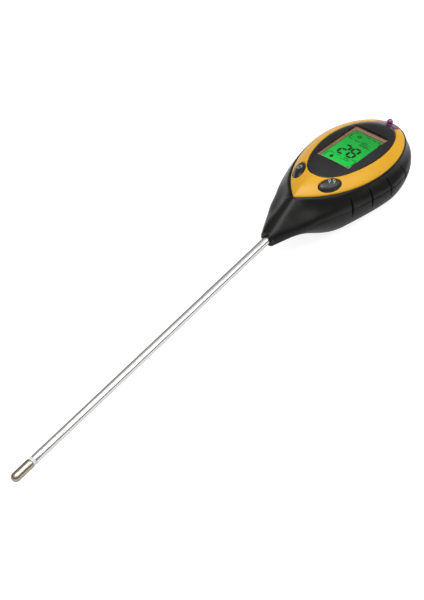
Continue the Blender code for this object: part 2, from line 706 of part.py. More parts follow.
def make_battery_cover(housing):
    size = (2 * (BAY_HALF_WIDTH - GAP), BAY_Y[1] - BAY_Y[0] - 2 * GAP)
    middle = (BAY_Y[0] + BAY_Y[1]) / 2
    cover = place("battery_cover", slab(size, REAR_Z, REAR_Z + COVER_T, middle), BLACK_ABS, housing)
    bevel = cover.modifiers.new("edges", "BEVEL")
    bevel.width = COVER_EDGE
    bevel.segments = 2
    scoop = place("thumb_scoop", ball(SCOOP_RADIUS, (0, 0, 0), 20, 12), BLACK_ABS, housing,
                  (0, BAY_Y[0] + SCOOP_RADIUS, REAR_Z - SCOOP_RADIUS + SCOOP_DEPTH))
    cut(cover, scoop)
    return cover


def make_face_plate(housing, face):
    def bottom(x, y):
        return crown(x, y) - PLATE_T
    plate = place("face_plate", annulus(lambda a: bezel_radius(a) + GAP, leaf_radius, crown, bottom),
                  YELLOW_ABS, housing)
    for side, name in ((-1, "plate_on_hole"), (1, "plate_mode_hole")):
        cut(plate, face_cutter(name, key_outline(side, GAP), face))
    notch = sensor_block(CAP_HALF_WIDTH + GAP)
    cut(plate, place("plate_sensor_notch", notch, YELLOW_ABS, housing))
    return plate


def sensor_block(half_width):
    """The part of the rim that the sensor cap fills."""
    return block((2 * half_width, THROUGH, THROUGH), (-half_width, CAP_START_Y, -THROUGH / 2))


def make_sensor_cap(housing):
    """The translucent piece that completes the rim at the sensor end."""
    def bottom(x, y):
        return crown(x, y) - PLATE_T
    cap = place("sensor_cap", annulus(lambda a: bezel_radius(a) + GAP, leaf_radius, crown, bottom),
                PURPLE, housing)
    keep = sensor_block(CAP_HALF_WIDTH)
    combine(cap, place("sensor_cap_trim", keep, PURPLE, housing), "INTERSECT")
    hole = rod(DOME_RADIUS + GAP, -THROUGH / 2, THROUGH / 2, (0, DOME_Y), 16)
    cut(cap, place("sensor_cap_hole", hole, PURPLE, housing))
    return cap


def make_sensor_dome(housing):
    profile = [(0, -DOME_STEM), (DOME_RADIUS, -DOME_STEM), (DOME_RADIUS, 0)]
    profile += [(DOME_RADIUS * math.cos(a * DEG), DOME_RADIUS * math.sin(a * DEG))
                for a in range(18, 90, 18)]
    profile.append((0, DOME_RADIUS))
    return place("sensor_dome", turned(profile, 16), PURPLE, housing, (0, DOME_Y, DOME_Z),
                 (90 * DEG, 0, 0))


# ---------------------------------------------------------------- display and board

def make_display(housing, face):
    bezel = place("display_bezel", bezel_disc(), BLACK_GLOSS, housing)
    cut(bezel, face_cutter("bezel_window", rectangle(WINDOW, WINDOW_SHIFT), face))
    recess = slab(grown(FRAME_SIZE), -8 * MM, FRAME_TOP + GAP, WINDOW_SHIFT)
    cut(bezel, place("bezel_recess", recess, BLACK_GLOSS, face))
    pane = slab(grown(WINDOW, -GAP), PANE_TOP - PANE_T, PANE_TOP, WINDOW_SHIFT)
    place("window_pane", pane, CLEAR, face)
    floor = LCD_TOP - LCD_T
    frame = place("lcd_frame", slab(FRAME_SIZE, floor, FRAME_TOP, WINDOW_SHIFT), BRONZE, face)
    cut(frame, place("frame_taper", taper(), BRONZE, face))
    seat = slab(grown(LCD_SIZE), floor - 1 * MM, LCD_TOP + GAP, WINDOW_SHIFT)
    cut(frame, place("frame_seat", seat, BRONZE, face))
    place("lcd_glass", slab(LCD_SIZE, floor, LCD_TOP, WINDOW_SHIFT), LCD_GREEN, face)
    light = slab((LCD_SIZE[0], LCD_SIZE[1] - 2 * STRIP_Y), floor - GAP - LIGHT_T, floor - GAP,
                 WINDOW_SHIFT + STRIP_Y)
    place("backlight", light, MILKY, face)
    strip_y = WINDOW_SHIFT - LCD_SIZE[1] / 2 + STRIP_Y
    strip = slab(STRIP_SIZE, PCB_TOP + GAP, floor - GAP, strip_y)
    place("contact_strip", strip, RUBBER, face)


def grown(size, by=GAP):
    return (size[0] + 2 * by, size[1] + 2 * by)


def taper():
    """The frame's sloping sight edge, from above the frame down to the lit area."""
    mesh = bmesh.new()
    slope = 1 * MM
    levels = ((ACTIVE[0] + slope, ACTIVE[1] + slope, FRAME_TOP + slope),
              (ACTIVE[0], ACTIVE[1], LCD_TOP - slope))
    rings = []
    for wide, long, z in levels:
        rings.append([mesh.verts.new((x, y, z)) for x, y in rectangle((wide, long), WINDOW_SHIFT)])
    upper, lower = rings
    for i in range(4):
        after = (i + 1) % 4
        mesh.faces.new((upper[i], upper[after], lower[after], lower[i]))
    mesh.faces.new(upper)
    mesh.faces.new(lower)
    return mesh


def bezel_disc(spread=56, steps=4):
    """An oval disc under the face's crown."""
    mesh = bmesh.new()
    top = mesh.verts.new((0, CENTRE_Y, FACE_Z))
    bottom = mesh.verts.new((0, CENTRE_Y, FACE_Z - BEZEL_T))
    upper, lower = [], []
    for k in range(1, steps + 1):
        ring_up, ring_down = [], []
        for i in range(spread):
            angle = 2 * math.pi * i / spread
            radius = bezel_radius(angle) * k / steps
            x, y = radius * math.sin(angle), CENTRE_Y + radius * math.cos(angle)
            ring_up.append(mesh.verts.new((x, y, crown(x, y))))
            ring_down.append(mesh.verts.new((x, y, crown(x, y) - BEZEL_T)))
        upper.append(ring_up)
        lower.append(ring_down)
    for rings, pole in ((upper, top), (lower, bottom)):
        for i in range(spread):
            after = (i + 1) % spread
            mesh.faces.new((pole, rings[0][i], rings[0][after]))
            for one, two in zip(rings, rings[1:]):
                mesh.faces.new((one[i], two[i], two[after], one[after]))
    for i in range(spread):
        after = (i + 1) % spread
        mesh.faces.new((upper[-1][i], lower[-1][i], lower[-1][after], upper[-1][after]))
    return mesh


def make_board(face):
    left = [(-x, y) for x, y in BOARD_OUTLINE[::-1]]
    outline = prism(BOARD_OUTLINE + left, PCB_TOP - PCB_T, PCB_TOP)
    board = place("main_board", outline, BOARD_GREEN, face)
    for number, (x, y) in enumerate(BOARD_SCREWS, 1):
        hole = rod(BOARD_SCREW_RADIUS + GAP, PCB_TOP - 5 * MM, PCB_TOP + 5 * MM, (x, y), 8)
        cut(board, place(f"board_hole_{number}", hole, BOARD_GREEN, face))
    chip = slab(CHIP_SIZE[:2], PCB_TOP + GAP, PCB_TOP + GAP + CHIP_SIZE[2])
    place("controller_chip", chip, BLACK_INSULATION, face, CHIP_AT)
    for number, (x, y) in enumerate(BOARD_SCREWS, 1):
        make_screw(f"board_screw_{number}", BOARD_SCREW_RADIUS, BOARD_SCREW_HEAD,
                   PCB_TOP - PCB_T - GAP, BOARD_SCREW_END, (x, y), face)


def make_screw(name, radius, head, seat, end, centre, parent):
    """A pan-head screw that points up from its seat, with a cross recess in its head."""
    screw = place(name, rod(head[0], seat - head[1], seat, count=12), STEEL, parent, (*centre, 0))
    shank = place(name + "_shank", rod(radius, seat - head[1] / 2, end, count=8), STEEL, parent,
                  (*centre, 0))
    add(screw, shank)
    for label, turn in (("a", 0), ("b", 90 * DEG)):
        bar = slab((head[0] * 1.1, 0.5 * MM), seat - head[1] - 1 * MM, seat - head[1] / 2)
        cut(screw, place(f"{name}_recess_{label}", bar, STEEL, parent, (*centre, 0), (0, 0, turn)))
    return screw


def make_key(name, side, face):
    """A domed key cap with a short stem over its switch; its origin is on the press axis."""
    axis = datum(name + "_axis", (side * KEY_X, KEY_Y, 0), (0, 0, -side * KEY_SPLAY), face)
    bottom = key_height(side) - PLATE_T - PLATE_SEAT - WALL
    cap = place(name, key_cap(bottom, side), BLACK_GLOSS, axis)
    stem = rod(PLUNGER_RADIUS, PLUNGER_TOP + GAP, bottom + WALL / 2, count=12)
    add(cap, place(name + "_stem", stem, BLACK_GLOSS, axis))
    return axis


def key_cap(bottom, side, spread=24):
    """An oval column whose top follows the sloping crown and rises to a dome."""
    mesh = bmesh.new()
    rings = []
    for share, rise in ((1, None), (1, 0.15), (0.93, 0.5), (0.75, 0.8), (0.45, 0.95)):
        ring = []
        for x, y in ellipse(KEY_HALF[0] * share, KEY_HALF[1] * share, spread):
            z = bottom if rise is None else key_surface(x, y, side) + KEY_PROUD * rise
            ring.append(mesh.verts.new((x, y, z)))
        rings.append(ring)
    for one, two in zip(rings, rings[1:]):
        for i in range(spread):
            after = (i + 1) % spread
            mesh.faces.new((one[i], one[after], two[after], two[i]))
    mesh.faces.new(rings[0])
    pole = mesh.verts.new((0, 0, key_height(side) + KEY_PROUD))
    for i in range(spread):
        mesh.faces.new((pole, rings[-1][i], rings[-1][(i + 1) % spread]))
    return mesh


def key_height(side):
    """Depth of the crown below the flat of the face at a key's centre."""
    return key_surface(0, 0, side)


def key_surface(x, y, side):
    """Height of the crown over a point of the key, on the face's own axes."""
    turn = -side * KEY_SPLAY
    across = side * KEY_X + x * math.cos(turn) - y * math.sin(turn)
    along = KEY_Y + x * math.sin(turn) + y * math.cos(turn)
    point = on_face(across, along)
    return (crown(point.x, point.y) - point.z) * math.cos(FACE_TILT)


def make_switch(name, axis):
    """A square push switch under a key: an open case and the plunger inside it."""
    low = PCB_TOP + GAP
    case = slab((SWITCH_SIDE, SWITCH_SIDE), low, PCB_TOP + SWITCH_HEIGHT)
    switch = place(name, case, STEEL, axis)
    well = rod(PLUNGER_RADIUS + GAP, low + SWITCH_FLOOR, low + 5 * MM, count=12)
    cut(switch, place(name + "_well", well, STEEL, axis))
    plunger = rod(PLUNGER_RADIUS, low + SWITCH_FLOOR + KEY_TRAVEL + GAP, PLUNGER_TOP, count=12)
    place(name + "_plunger", plunger, WHITE_PLASTIC, axis)


def make_photodiode(housing):
    place("photodiode", turned(PHOTODIODE_PROFILE, 16), CLEAR, housing,
          (0, PHOTODIODE_Y, PHOTODIODE_Z), (90 * DEG, 0, 0))


# ---------------------------------------------------------------- power

def make_battery(housing):
    wide, long, high = BATTERY_SIZE
    bottom = REAR_Z + COVER_T + GAP
    battery = place("battery", block(BATTERY_SIZE, (-wide / 2, BATTERY_Y, bottom)),
                    BATTERY_SHELL, housing)
    bevel = battery.modifiers.new("edges", "BEVEL")
    bevel.width = BATTERY_EDGE
    bevel.segments = 2
    middle = bottom + high / 2
    for label, x, radius, sides in BATTERY_STUDS:
        stud = turned([(0, -STUD_PROUD), (radius, -STUD_PROUD), (radius, SINK), (0, SINK)], sides)
        add(battery, place("battery_" + label, stud, STEEL, housing, (x, BATTERY_Y, middle)))
    snap_y = BATTERY_Y - STUD_PROUD - GAP - SNAP_SIZE[1]
    plate = block(SNAP_SIZE, (-SNAP_SIZE[0] / 2, snap_y, middle - SNAP_SIZE[2] / 2))
    place("battery_snap", plate, BLACK_INSULATION, housing)
    return snap_y, middle


def lead(name, route, radius, spec, parent):
    """A wire along a smooth curve through its route's points."""
    curve = bpy.data.curves.new(name, "CURVE")
    curve.dimensions = "3D"
    curve.bevel_depth = radius
    curve.bevel_resolution = 2
    curve.use_fill_caps = True
    points = smooth_route([Vector(point) for point in route])
    spline = curve.splines.new("POLY")
    spline.points.add(len(points) - 1)
    for slot, point in zip(spline.points, points):
        slot.co = (*point, 1)
    obj = bpy.data.objects.new(name, curve)
    curve.materials.append(material(spec))
    obj.parent = parent
    bpy.context.collection.objects.link(obj)
    return obj


def smooth_route(route, steps=4):
    """Catmull-Rom points through a route."""
    padded = [2 * route[0] - route[1], *route, 2 * route[-1] - route[-2]]
    points = []
    for a, b, c, d in zip(padded, padded[1:], padded[2:], padded[3:]):
        for i in range(steps):
            t = i / steps
            points.append(0.5 * (2 * b + (c - a) * t + (2 * a - 5 * b + 4 * c - d) * t * t
                                 + (3 * b - a - 3 * c + d) * t ** 3))
    return points + [route[-1]]


def make_battery_leads(housing, snap_y, snap_z):
    board = on_face(0, BOARD_PADS_Y, PCB_TOP - PCB_T - GAP)
    for name, side, spec in (("red_lead", 1, RED), ("black_lead", -1, BLACK_INSULATION)):
        x = side * LEAD_X
        route = [(x, snap_y - GAP, snap_z), (x, snap_y - 1.2 * MM, snap_z + 1.6 * MM),
                 (x, POCKET_Y - 1.2 * MM, -6.4 * MM), (x, POCKET_Y - 3.2 * MM, -4 * MM),
                 (x, board.y + 0.4 * MM, board.z - 3 * MM), (x, board.y, board.z)]
        lead(name, route, LEAD_RADIUS, spec, housing)


def make_sensor_lead(housing):
    """From the photodiode, beside the battery bay, to the far end of the board."""
    board = on_face(15.2 * MM, -8.6 * MM, PCB_TOP + GAP)
    back = PHOTODIODE_Z - PHOTODIODE_BACK - GAP
    route = [(0, PHOTODIODE_Y, back), (1.5 * MM, PHOTODIODE_Y - 1.5 * MM, back - 1.6 * MM),
             (8 * MM, 111 * MM, -7 * MM), (13 * MM, 107 * MM, -4 * MM),
             (14.4 * MM, 103.9 * MM, -1.2 * MM), (14.9 * MM, 101.5 * MM, -0.8 * MM),
             (17 * MM, 92 * MM, 0.8 * MM), (16.8 * MM, 76 * MM, 3.6 * MM),
             (15.2 * MM, board.y + 1 * MM, board.z + 1.6 * MM), board]
    lead("sensor_lead", route, FINE_LEAD_RADIUS, WHITE_PLASTIC, housing)


# ---------------------------------------------------------------- probe

def make_probe(housing):
    tip_back = -PROBE_LENGTH + TIP_LENGTH
    ring_back = tip_back + RING_LENGTH
    tube = [(TUBE_BORE, ring_back), (TUBE_RADIUS, ring_back), (TUBE_RADIUS, TUBE_END_Y),
            (TUBE_BORE, TUBE_END_Y)]
    place("probe_tube", turned(tube), STEEL, housing)
    ring = [(LEAD_RADIUS + GAP, tip_back - SPIGOT_LENGTH), (SPIGOT_RADIUS, tip_back - SPIGOT_LENGTH),
            (SPIGOT_RADIUS, tip_back + GAP), (TUBE_RADIUS, tip_back + GAP),
            (TUBE_RADIUS, ring_back - GAP), (SPIGOT_RADIUS, ring_back - GAP),
            (SPIGOT_RADIUS, ring_back + SPIGOT_LENGTH), (LEAD_RADIUS + GAP, ring_back + SPIGOT_LENGTH)]
    place("probe_insulator", turned(ring, 16), WHITE_PLASTIC, housing)
    place("probe_tip", turned(tip_profile(tip_back)), NICKEL, housing)
    place("thermistor", turned(BEAD_PROFILE, 16), BLACK_INSULATION, housing,
          (0, -PROBE_LENGTH + BEAD_DEPTH, 0))


def tip_profile(back):
    """A hollow cap with a round nose and a bevelled rear edge."""
    nose = [(TIP_RADIUS * math.sin(a * DEG), -PROBE_LENGTH + TIP_RADIUS * (1 - math.cos(a * DEG)))
            for a in (0, 15, 30, 45, 60, 75, 90)]
    side = [(TIP_RADIUS, back - 2 * BEVEL), (TIP_RADIUS - BEVEL, back - BEVEL), (TUBE_BORE, back - BEVEL)]
    floor = -PROBE_LENGTH + TIP_FLOOR
    return nose + side + [(TUBE_BORE, floor + 0.6 * MM), (0, floor)]


def make_probe_holder(housing):
    """The threaded bush that clamps the probe behind the neck, and its nut."""
    start = NECK_WALL + 2 * GAP
    end = start + BUSH_LENGTH
    bore = TUBE_RADIUS + GAP
    bush = [(bore, start), (BUSH_RADIUS, start), (BUSH_RADIUS, end), (bore, end)]
    place("probe_bush", turned(bush, 16), NICKEL, housing)
    start = end + GAP
    end = start + NUT_LENGTH
    nut = turned([(0, start), (NUT_RADIUS, start), (NUT_RADIUS, end), (0, end)], 6)
    nut = place("probe_nut", nut, NICKEL, housing)
    hole = turned([(0, start - GAP), (bore, start - GAP), (bore, end + GAP), (0, end + GAP)], 16)
    cut(nut, place("probe_nut_bore", hole, NICKEL, housing))


def make_probe_leads(housing):
    board = on_face(0, BOARD_PADS_Y, PCB_TOP - PCB_T - GAP)
    inner = [(0, -PROBE_LENGTH + 6.4 * MM, 0), (0, -PROBE_LENGTH + 12 * MM, 0), (0, -150 * MM, 0),
             (0, -60 * MM, 0), (0, 15 * MM, 0), (0, TUBE_END_Y - 1 * MM, 0),
             (2 * MM, TUBE_END_Y + 2.5 * MM, 0.6 * MM), (5 * MM, 33 * MM, 3 * MM),
             (5.6 * MM, board.y - 1.2 * MM, board.z - 2.4 * MM), (5.6 * MM, board.y, board.z)]
    lead("thermistor_lead", inner, LEAD_RADIUS, WHITE_PLASTIC, housing)
    outer = [(-1.95 * MM, TUBE_END_Y + 0.9 * MM, 0), (-3 * MM, TUBE_END_Y + 3.2 * MM, 0.8 * MM),
             (-5 * MM, 33 * MM, 3 * MM), (-5.6 * MM, board.y - 1.2 * MM, board.z - 2.4 * MM),
             (-5.6 * MM, board.y, board.z)]
    lead("tube_lead", outer, LEAD_RADIUS, RED, housing)


def make_housing_screws(housing):
    for number, (x, y) in enumerate(HOUSING_SCREWS, 1):
        make_screw(f"housing_screw_{number}", SCREW_RADIUS, SCREW_HEAD, SCREW_HEAD_Z + SCREW_HEAD[1],
                   belt_z(y) + SCREW_REACH, (x, y), housing)


def main():
    clear_scene()
    neck_y = (PROBE_LENGTH - HOUSING_LENGTH) / 2
    housing = datum("housing_datum", (0, neck_y, -REAR_Z))
    face = datum("face_datum", (0, CENTRE_Y, FACE_Z), (-FACE_TILT, 0, 0), housing)
    make_front_shell(housing, face)
    make_rear_shell(housing)
    make_battery_cover(housing)
    make_face_plate(housing, face)
    make_sensor_cap(housing)
    make_sensor_dome(housing)
    make_photodiode(housing)
    make_display(housing, face)
    make_board(face)
    for name, side in (("on_key", -1), ("mode_key", 1)):
        axis = make_key(name, side, face)
        make_switch(name.replace("key", "switch"), axis)
    snap_y, snap_z = make_battery(housing)
    make_battery_leads(housing, snap_y, snap_z)
    make_sensor_lead(housing)
    make_probe(housing)
    make_probe_holder(housing)
    make_probe_leads(housing)
    make_housing_screws(housing)


main()
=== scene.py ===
"""Looks of the soil moisture meter: fine housing skins, a lit display, printed keys, a
polished probe, and a procedural material for every piece, on a plain pale floor.

All places are in metres. The housing's own measures start at the neck's end, on the
probe's axis, with +Y towards the sensor end and +Z out of the face.
"""
from math import acos, asin, atan2, cos, hypot, pi, sin, sqrt, tan

import bmesh
import bpy
from mathutils import Matrix, Vector


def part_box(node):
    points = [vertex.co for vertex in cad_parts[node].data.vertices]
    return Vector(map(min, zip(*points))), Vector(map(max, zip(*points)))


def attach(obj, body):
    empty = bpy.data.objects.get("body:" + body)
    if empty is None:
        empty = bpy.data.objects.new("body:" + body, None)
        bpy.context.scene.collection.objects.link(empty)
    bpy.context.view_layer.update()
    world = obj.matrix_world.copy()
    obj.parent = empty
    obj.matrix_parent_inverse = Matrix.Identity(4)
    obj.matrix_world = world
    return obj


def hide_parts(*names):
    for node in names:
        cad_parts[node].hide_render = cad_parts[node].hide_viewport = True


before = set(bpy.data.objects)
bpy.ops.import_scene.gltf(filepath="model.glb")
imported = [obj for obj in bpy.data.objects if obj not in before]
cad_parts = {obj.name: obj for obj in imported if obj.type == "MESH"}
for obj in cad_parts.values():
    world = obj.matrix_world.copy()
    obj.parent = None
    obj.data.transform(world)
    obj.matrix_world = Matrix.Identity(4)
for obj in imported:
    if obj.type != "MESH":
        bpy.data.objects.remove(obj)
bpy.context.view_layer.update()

MM = 0.001
DEG = pi / 180
HOUSING = "housing"  # the body that everything fixed rides on

SHELL_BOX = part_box("front_shell")
TUBE_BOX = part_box("probe_tube")
TIP_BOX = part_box("probe_tip")
RING_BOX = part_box("probe_insulator")
COVER_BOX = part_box("battery_cover")
NECK = Vector((0, SHELL_BOX[0].y, (TUBE_BOX[0].z + TUBE_BOX[1].z) / 2))
HOUSING_LENGTH = SHELL_BOX[1].y - SHELL_BOX[0].y
REAR_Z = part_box("rear_shell")[0].z - NECK.z
GAP = 0.3 * MM
WALL = 2 * MM
THROUGH = 40 * MM  # how far a cutter runs when it has to pass everything

# Leaf outline and crown of the face
CENTRE_Y = 80 * MM
LEAF_HALF_WIDTH = 24.9 * MM
LEAF_FAR = 41.1 * MM
LEAF_NEAR = 55.2 * MM
TIP_POWER = 0.8
TIP_PINCH = 0.35
TIP_PINCH_POWER = 12
FACE_Z = 11.2 * MM
FACE_TILT = 10.6 * DEG
CROWN_DROP = 6 * MM
CROWN_DROP_SHIFT = 1.5 * MM
CROWN_POWER = 4.5

# Belt, belly and spine of the housing
BELT_HALF_WIDTH = (SHELL_BOX[1].x - SHELL_BOX[0].x) / 2
BELT_FAR = HOUSING_LENGTH - CENTRE_Y
BELT_POWER = 1.5
BELT_Z = -3.35 * MM
BELT_Z_AT = 70 * MM
BELT_SLOPE = -0.11
NECK_RADIUS = 4.6 * MM
NECK_WALL = 14 * MM
BELLY_Z = -24 * MM
BELLY_START = 9 * MM
BELLY_END = 46 * MM
BELLY_POWER = (2.1, 2.85, 2.5)  # of its section at the neck, at the centre, at the far end
SMOOTH_REACH = 9 * MM  # of the averaging along the wall
SMOOTH_FADE = (3, 9)  # rows left alone at the rim, and rows to full effect
SPINE_Z = 13.8 * MM
SPINE_FLAT = 0.25 * MM
SPINE_END = CENTRE_Y - LEAF_NEAR - 0.5 * MM
LIP = (5.2 * MM, 1.2 * MM)  # rounding beside the spine, and beside the plate
LIP_Y = (20 * MM, 72 * MM)
ROUND_END = 12 * MM  # length over which the neck's round section changes

# Face plate, bezel, window and display; depths are along the face's normal
PLATE_T = 1.6 * MM
PLATE_SEAT = 0.45 * MM
PLATE_GAP = 0.35 * MM  # round the plate's edge
RIM_DROP = 0.4 * MM  # the shell's rim lies this far under the plate's top
PLATE_EDGE = 0.55 * MM  # rounding of the plate's edges
CAP_EDGE = 0.4 * MM
BEZEL_HALF_WIDTH = 17.7 * MM
BEZEL_HALF_LENGTH = 36 * MM
BEZEL_EGG = 0.04
BEZEL_T = 1.5 * MM
BEZEL_DROP = 0.12 * MM
BEZEL_EDGE = 0.3 * MM
WINDOW = (23.6 * MM, 41.4 * MM)
WINDOW_SHIFT = 1.2 * MM
FRAME_TOP = -2.35 * MM
FRAME_OPENING = (27.4 * MM + 2 * GAP, 45.4 * MM + 2 * GAP)
ACTIVE = (20 * MM, 35.2 * MM)
LCD_TOP = -3.4 * MM

# Keys
KEY_X = 10.95 * MM
KEY_Y = -35.7 * MM
KEY_HALF = (3.25 * MM, 7.2 * MM)
KEY_SPLAY = 27.5 * DEG
KEY_PROUD = 0.9 * MM
KEY_ROLL = 0.35 * MM  # extra drop at the dome's rim
KEY_HOLE_EDGE = 0.5 * MM
PRINT_T = 0.05 * MM
PRINT_SINK = 0.02 * MM

# Light sensor
CAP_HALF_WIDTH = 7 * MM
CAP_START_Y = 116.4 * MM
DOME_RADIUS = 1.9 * MM
DOME_Y = 119 * MM
DOME_Z = 1.6 * MM
DOME_STEM = 3.2 * MM
SENSOR_HOLE_RADIUS = 2.6 * MM
SENSOR_HOLE_Y = DOME_Y - 1.2 * MM

# Battery bay, screws and grip grooves
BAY_HALF_WIDTH = 14.9 * MM
BAY_Y = (51.2 * MM, 101.4 * MM)
BAY_TOP = -2.1 * MM
BAY_ROOF = 0.8 * MM
BAY_WALL = 1.2 * MM
POCKET_HALF_WIDTH = 13.6 * MM
POCKET_Y = 44.7 * MM
POCKET_Z = -16.9 * MM
LEAD_SLOT_HALF_WIDTH = 4.6 * MM
LEAD_SLOT_Y = (POCKET_Y - 3 * MM, POCKET_Y + 1 * MM)
LEAD_SLOT_Z = (-9.8 * MM, -4 * MM)
SCREWS = ((0, 33 * MM), (21.6 * MM, 63 * MM), (-21.6 * MM, 63 * MM),
          (17 * MM, 106 * MM), (-17 * MM, 106 * MM))
BOSS_RADIUS = 2.8 * MM
BOSS_DROP = 0.45 * MM  # from the belt to a boss's top
SCREW_HOLE_RADIUS = 1.4 * MM
SCREW_WELL_RADIUS = 2.1 * MM + GAP
SCREW_WELL_TOP = -13.5 * MM + GAP
GROOVE_Y = (48 * MM, 62 * MM, 77 * MM, 93 * MM)
GROOVE_REACH = (-6.8 * MM, 7.6 * MM)  # lower and upper ends, from the belt
GROOVE_HALF_WIDTH = 1.1 * MM
GROOVE_DEPTH = 1.5 * MM

# Probe; the rest of its sizes come from the frame
TUBE_RADIUS = (TUBE_BOX[1].x - TUBE_BOX[0].x) / 2
TUBE_BORE = 1.7 * MM
TUBE_BEVEL = 0.12 * MM
RING_EDGE = 0.15 * MM
RING_PROUD = 0.03 * MM
RING_CLEARANCE = 0.1 * MM  # between the ring's wide part and the metal beside it
SPIGOT_RADIUS = 1.4 * MM
RING_BORE = 0.8 * MM
TIP_WALL_START = 3 * MM  # the tip's bore, from its nose, and the cone that ends it
TIP_CONE_START = 2.4 * MM

# Battery cover
COVER_EDGE = ((0.5, 0), (0.2, 0.06), (0.04, 0.25), (0, 0.5), (0, 1.8))  # (shrink, height) in mm
COVER_CORNER = 1.2 * MM
SCOOP_RADIUS = 9 * MM
SCOOP_DEPTH = 1.05 * MM
RIB_COUNT = 5
RIB_START = 17 * MM
RIB_STEP = 1.6 * MM
RIB_HALF = (6 * MM, 0.3 * MM)
RIB_DEPTH = 0.35 * MM

# Camera, given from the neck's end
CAMERA_AZIMUTH = 45.036 * DEG
CAMERA_ELEVATION = 48.247 * DEG
CAMERA_ROLL = 6.797 * DEG
CAMERA_OFFSET = Vector((0.3565, -0.40542, 0.5584))
CAMERA_LENS = 82.73  # millimetres, on a sensor 36 mm high


# ---------------------------------------------------------------- materials

def fill(tree, node, **inputs):
    """Sets or links a node's inputs, named with _ for a space, and returns the node."""
    for name, value in inputs.items():
        socket = node.inputs[name.replace("_", " ")]
        if isinstance(value, bpy.types.NodeSocket):
            tree.links.new(value, socket)
        else:
            socket.default_value = value
    return node


def add(tree, kind, **inputs):
    return fill(tree, tree.nodes.new("ShaderNode" + kind), **inputs)


def shader_nodes(name, colour, roughness, **settings):
    """A new material, its Principled shader and its node tree."""
    made = bpy.data.materials.new(name)
    made.use_nodes = True
    tree = made.node_tree
    shader = fill(tree, tree.nodes["Principled BSDF"], Base_Color=(*colour, 1), Roughness=roughness,
                  **settings)
    return made, shader, tree


def coordinates(tree, scale=(1, 1, 1)):
    """Object coordinates in millimetres, stretched by scale."""
    source = add(tree, "TexCoord").outputs["Object"]
    return add(tree, "Mapping", Scale=[1000 * s for s in scale], Vector=source).outputs["Vector"]


def noise(tree, vector, scale, detail=3):
    return add(tree, "TexNoise", Scale=scale, Detail=detail, Roughness=0.55,
               Vector=vector).outputs["Fac"]


def ramp(tree, factor, stops):
    """A colour ramp of (position, colour or grey) stops."""
    node = add(tree, "ValToRGB", Fac=factor)
    elements = node.color_ramp.elements
    while len(elements) < len(stops):
        elements.new(0.5)
    for element, (position, colour) in zip(elements, stops):
        element.position = position
        element.color = (*colour, 1) if isinstance(colour, tuple) else (colour,) * 3 + (1,)
    return node.outputs["Color"]


def spread(tree, factor, low, high):
    return add(tree, "MapRange", To_Min=low, To_Max=high, Value=factor).outputs["Result"]


def share_along(tree, vector, axis, low, high):
    """From 0 at low to 1 at high, both in metres, along an axis of the coordinates."""
    place = add(tree, "SeparateXYZ", Vector=vector).outputs[axis]
    return add(tree, "MapRange", From_Min=low / MM, From_Max=high / MM,
               Value=place).outputs["Result"]


def bump(tree, height, strength, distance):
    return add(tree, "Bump", Strength=strength, Distance=distance, Height=height).outputs["Normal"]


def moulded(name, colour, roughness, grain=2.2, relief=0.02 * MM, tone=0.12, **settings):
    """Moulded plastic: a fine spark-eroded grain, patches of sheen and a slight tone change."""
    made, shader, tree = shader_nodes(name, colour, roughness, **settings)
    vector = coordinates(tree)
    fine = noise(tree, vector, grain, 4)
    broad = noise(tree, vector, 0.07, 2)
    dark = tuple(c * (1 - tone) for c in colour)
    light = tuple(min(c * (1 + tone), 1) for c in colour)
    fill(tree, shader, Base_Color=ramp(tree, broad, ((0.3, dark), (0.7, light))),
         Roughness=spread(tree, fine, roughness * 0.82, roughness * 1.18),
         Normal=bump(tree, fine, 0.35, relief))
    return made


def drawn_metal(name, colour, roughness, streak=0.25, tone=0.1, edge=0.6):
    """Drawn or turned metal with fine streaks along the housing's length, and a metal's own tint
    at grazing angles."""
    made, shader, tree = shader_nodes(name, colour, roughness, Metallic=1,
                                      Specular_Tint=(edge,) * 3 + (1,))
    lines = noise(tree, coordinates(tree, (1, 0.02, 1)), 6)
    smudge = noise(tree, coordinates(tree), streak)
    dark = tuple(c * (1 - tone) for c in colour)
    fill(tree, shader, Base_Color=ramp(tree, lines, ((0.3, dark), (0.65, colour))),
         Roughness=spread(tree, smudge, roughness * 0.7, roughness * 1.5),
         Normal=bump(tree, lines, 0.25, 0.004 * MM))
    return made


def lit_display():
    """Green display glass, brightest at the key end where its light sits."""
    made, shader, tree = shader_nodes("lit_display", (0.002, 0.06, 0.01), 0.3,
                                      Emission_Strength=0.88, Specular_IOR_Level=0.15)
    vector = coordinates(tree)
    low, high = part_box("lcd_glass")
    mixed = tree.nodes.new("ShaderNodeMath")
    mixed.operation = "MULTIPLY_ADD"
    mixed.inputs[1].default_value = 0.3
    tree.links.new(noise(tree, vector, 0.16, 2), mixed.inputs[0])
    tree.links.new(share_along(tree, vector, "Y", low.y, high.y), mixed.inputs[2])
    glow = ramp(tree, mixed.outputs["Value"],
                ((0.15, (0.006, 0.720, 0.085)), (0.6, (0.005, 0.520, 0.050)),
                 (1.1, (0.004, 0.340, 0.030))))
    fill(tree, shader, Emission_Color=glow)
    return made


def cap_lens():
    """Tinted translucent plastic with painted light in its colour: paler on the left and deeper purple
    on the right.
    """
    made, shader, tree = shader_nodes("purple_cap", (0.3, 0.15, 0.25), 0.25,
                                      Specular_IOR_Level=0.15)
    vector = coordinates(tree)
    across = share_along(tree, vector, "X", -CAP_HALF_WIDTH, CAP_HALF_WIDTH)
    # the ramp across the cap paints light and shade into its tint: pale and lit on the left, deep
    # purple on the right
    tint_and_painted_light = ramp(tree, across, ((0.05, (0.27, 0.17, 0.15)), (0.45, (0.15, 0.05, 0.11)),
                               (0.9, (0.06, 0.014, 0.050))))
    cloud = noise(tree, vector, 0.6)
    fill(tree, shader, Base_Color=tint_and_painted_light, Roughness=spread(tree, cloud, 0.18, 0.34),
         Normal=bump(tree, cloud, 0.3, 0.006 * MM))
    return made


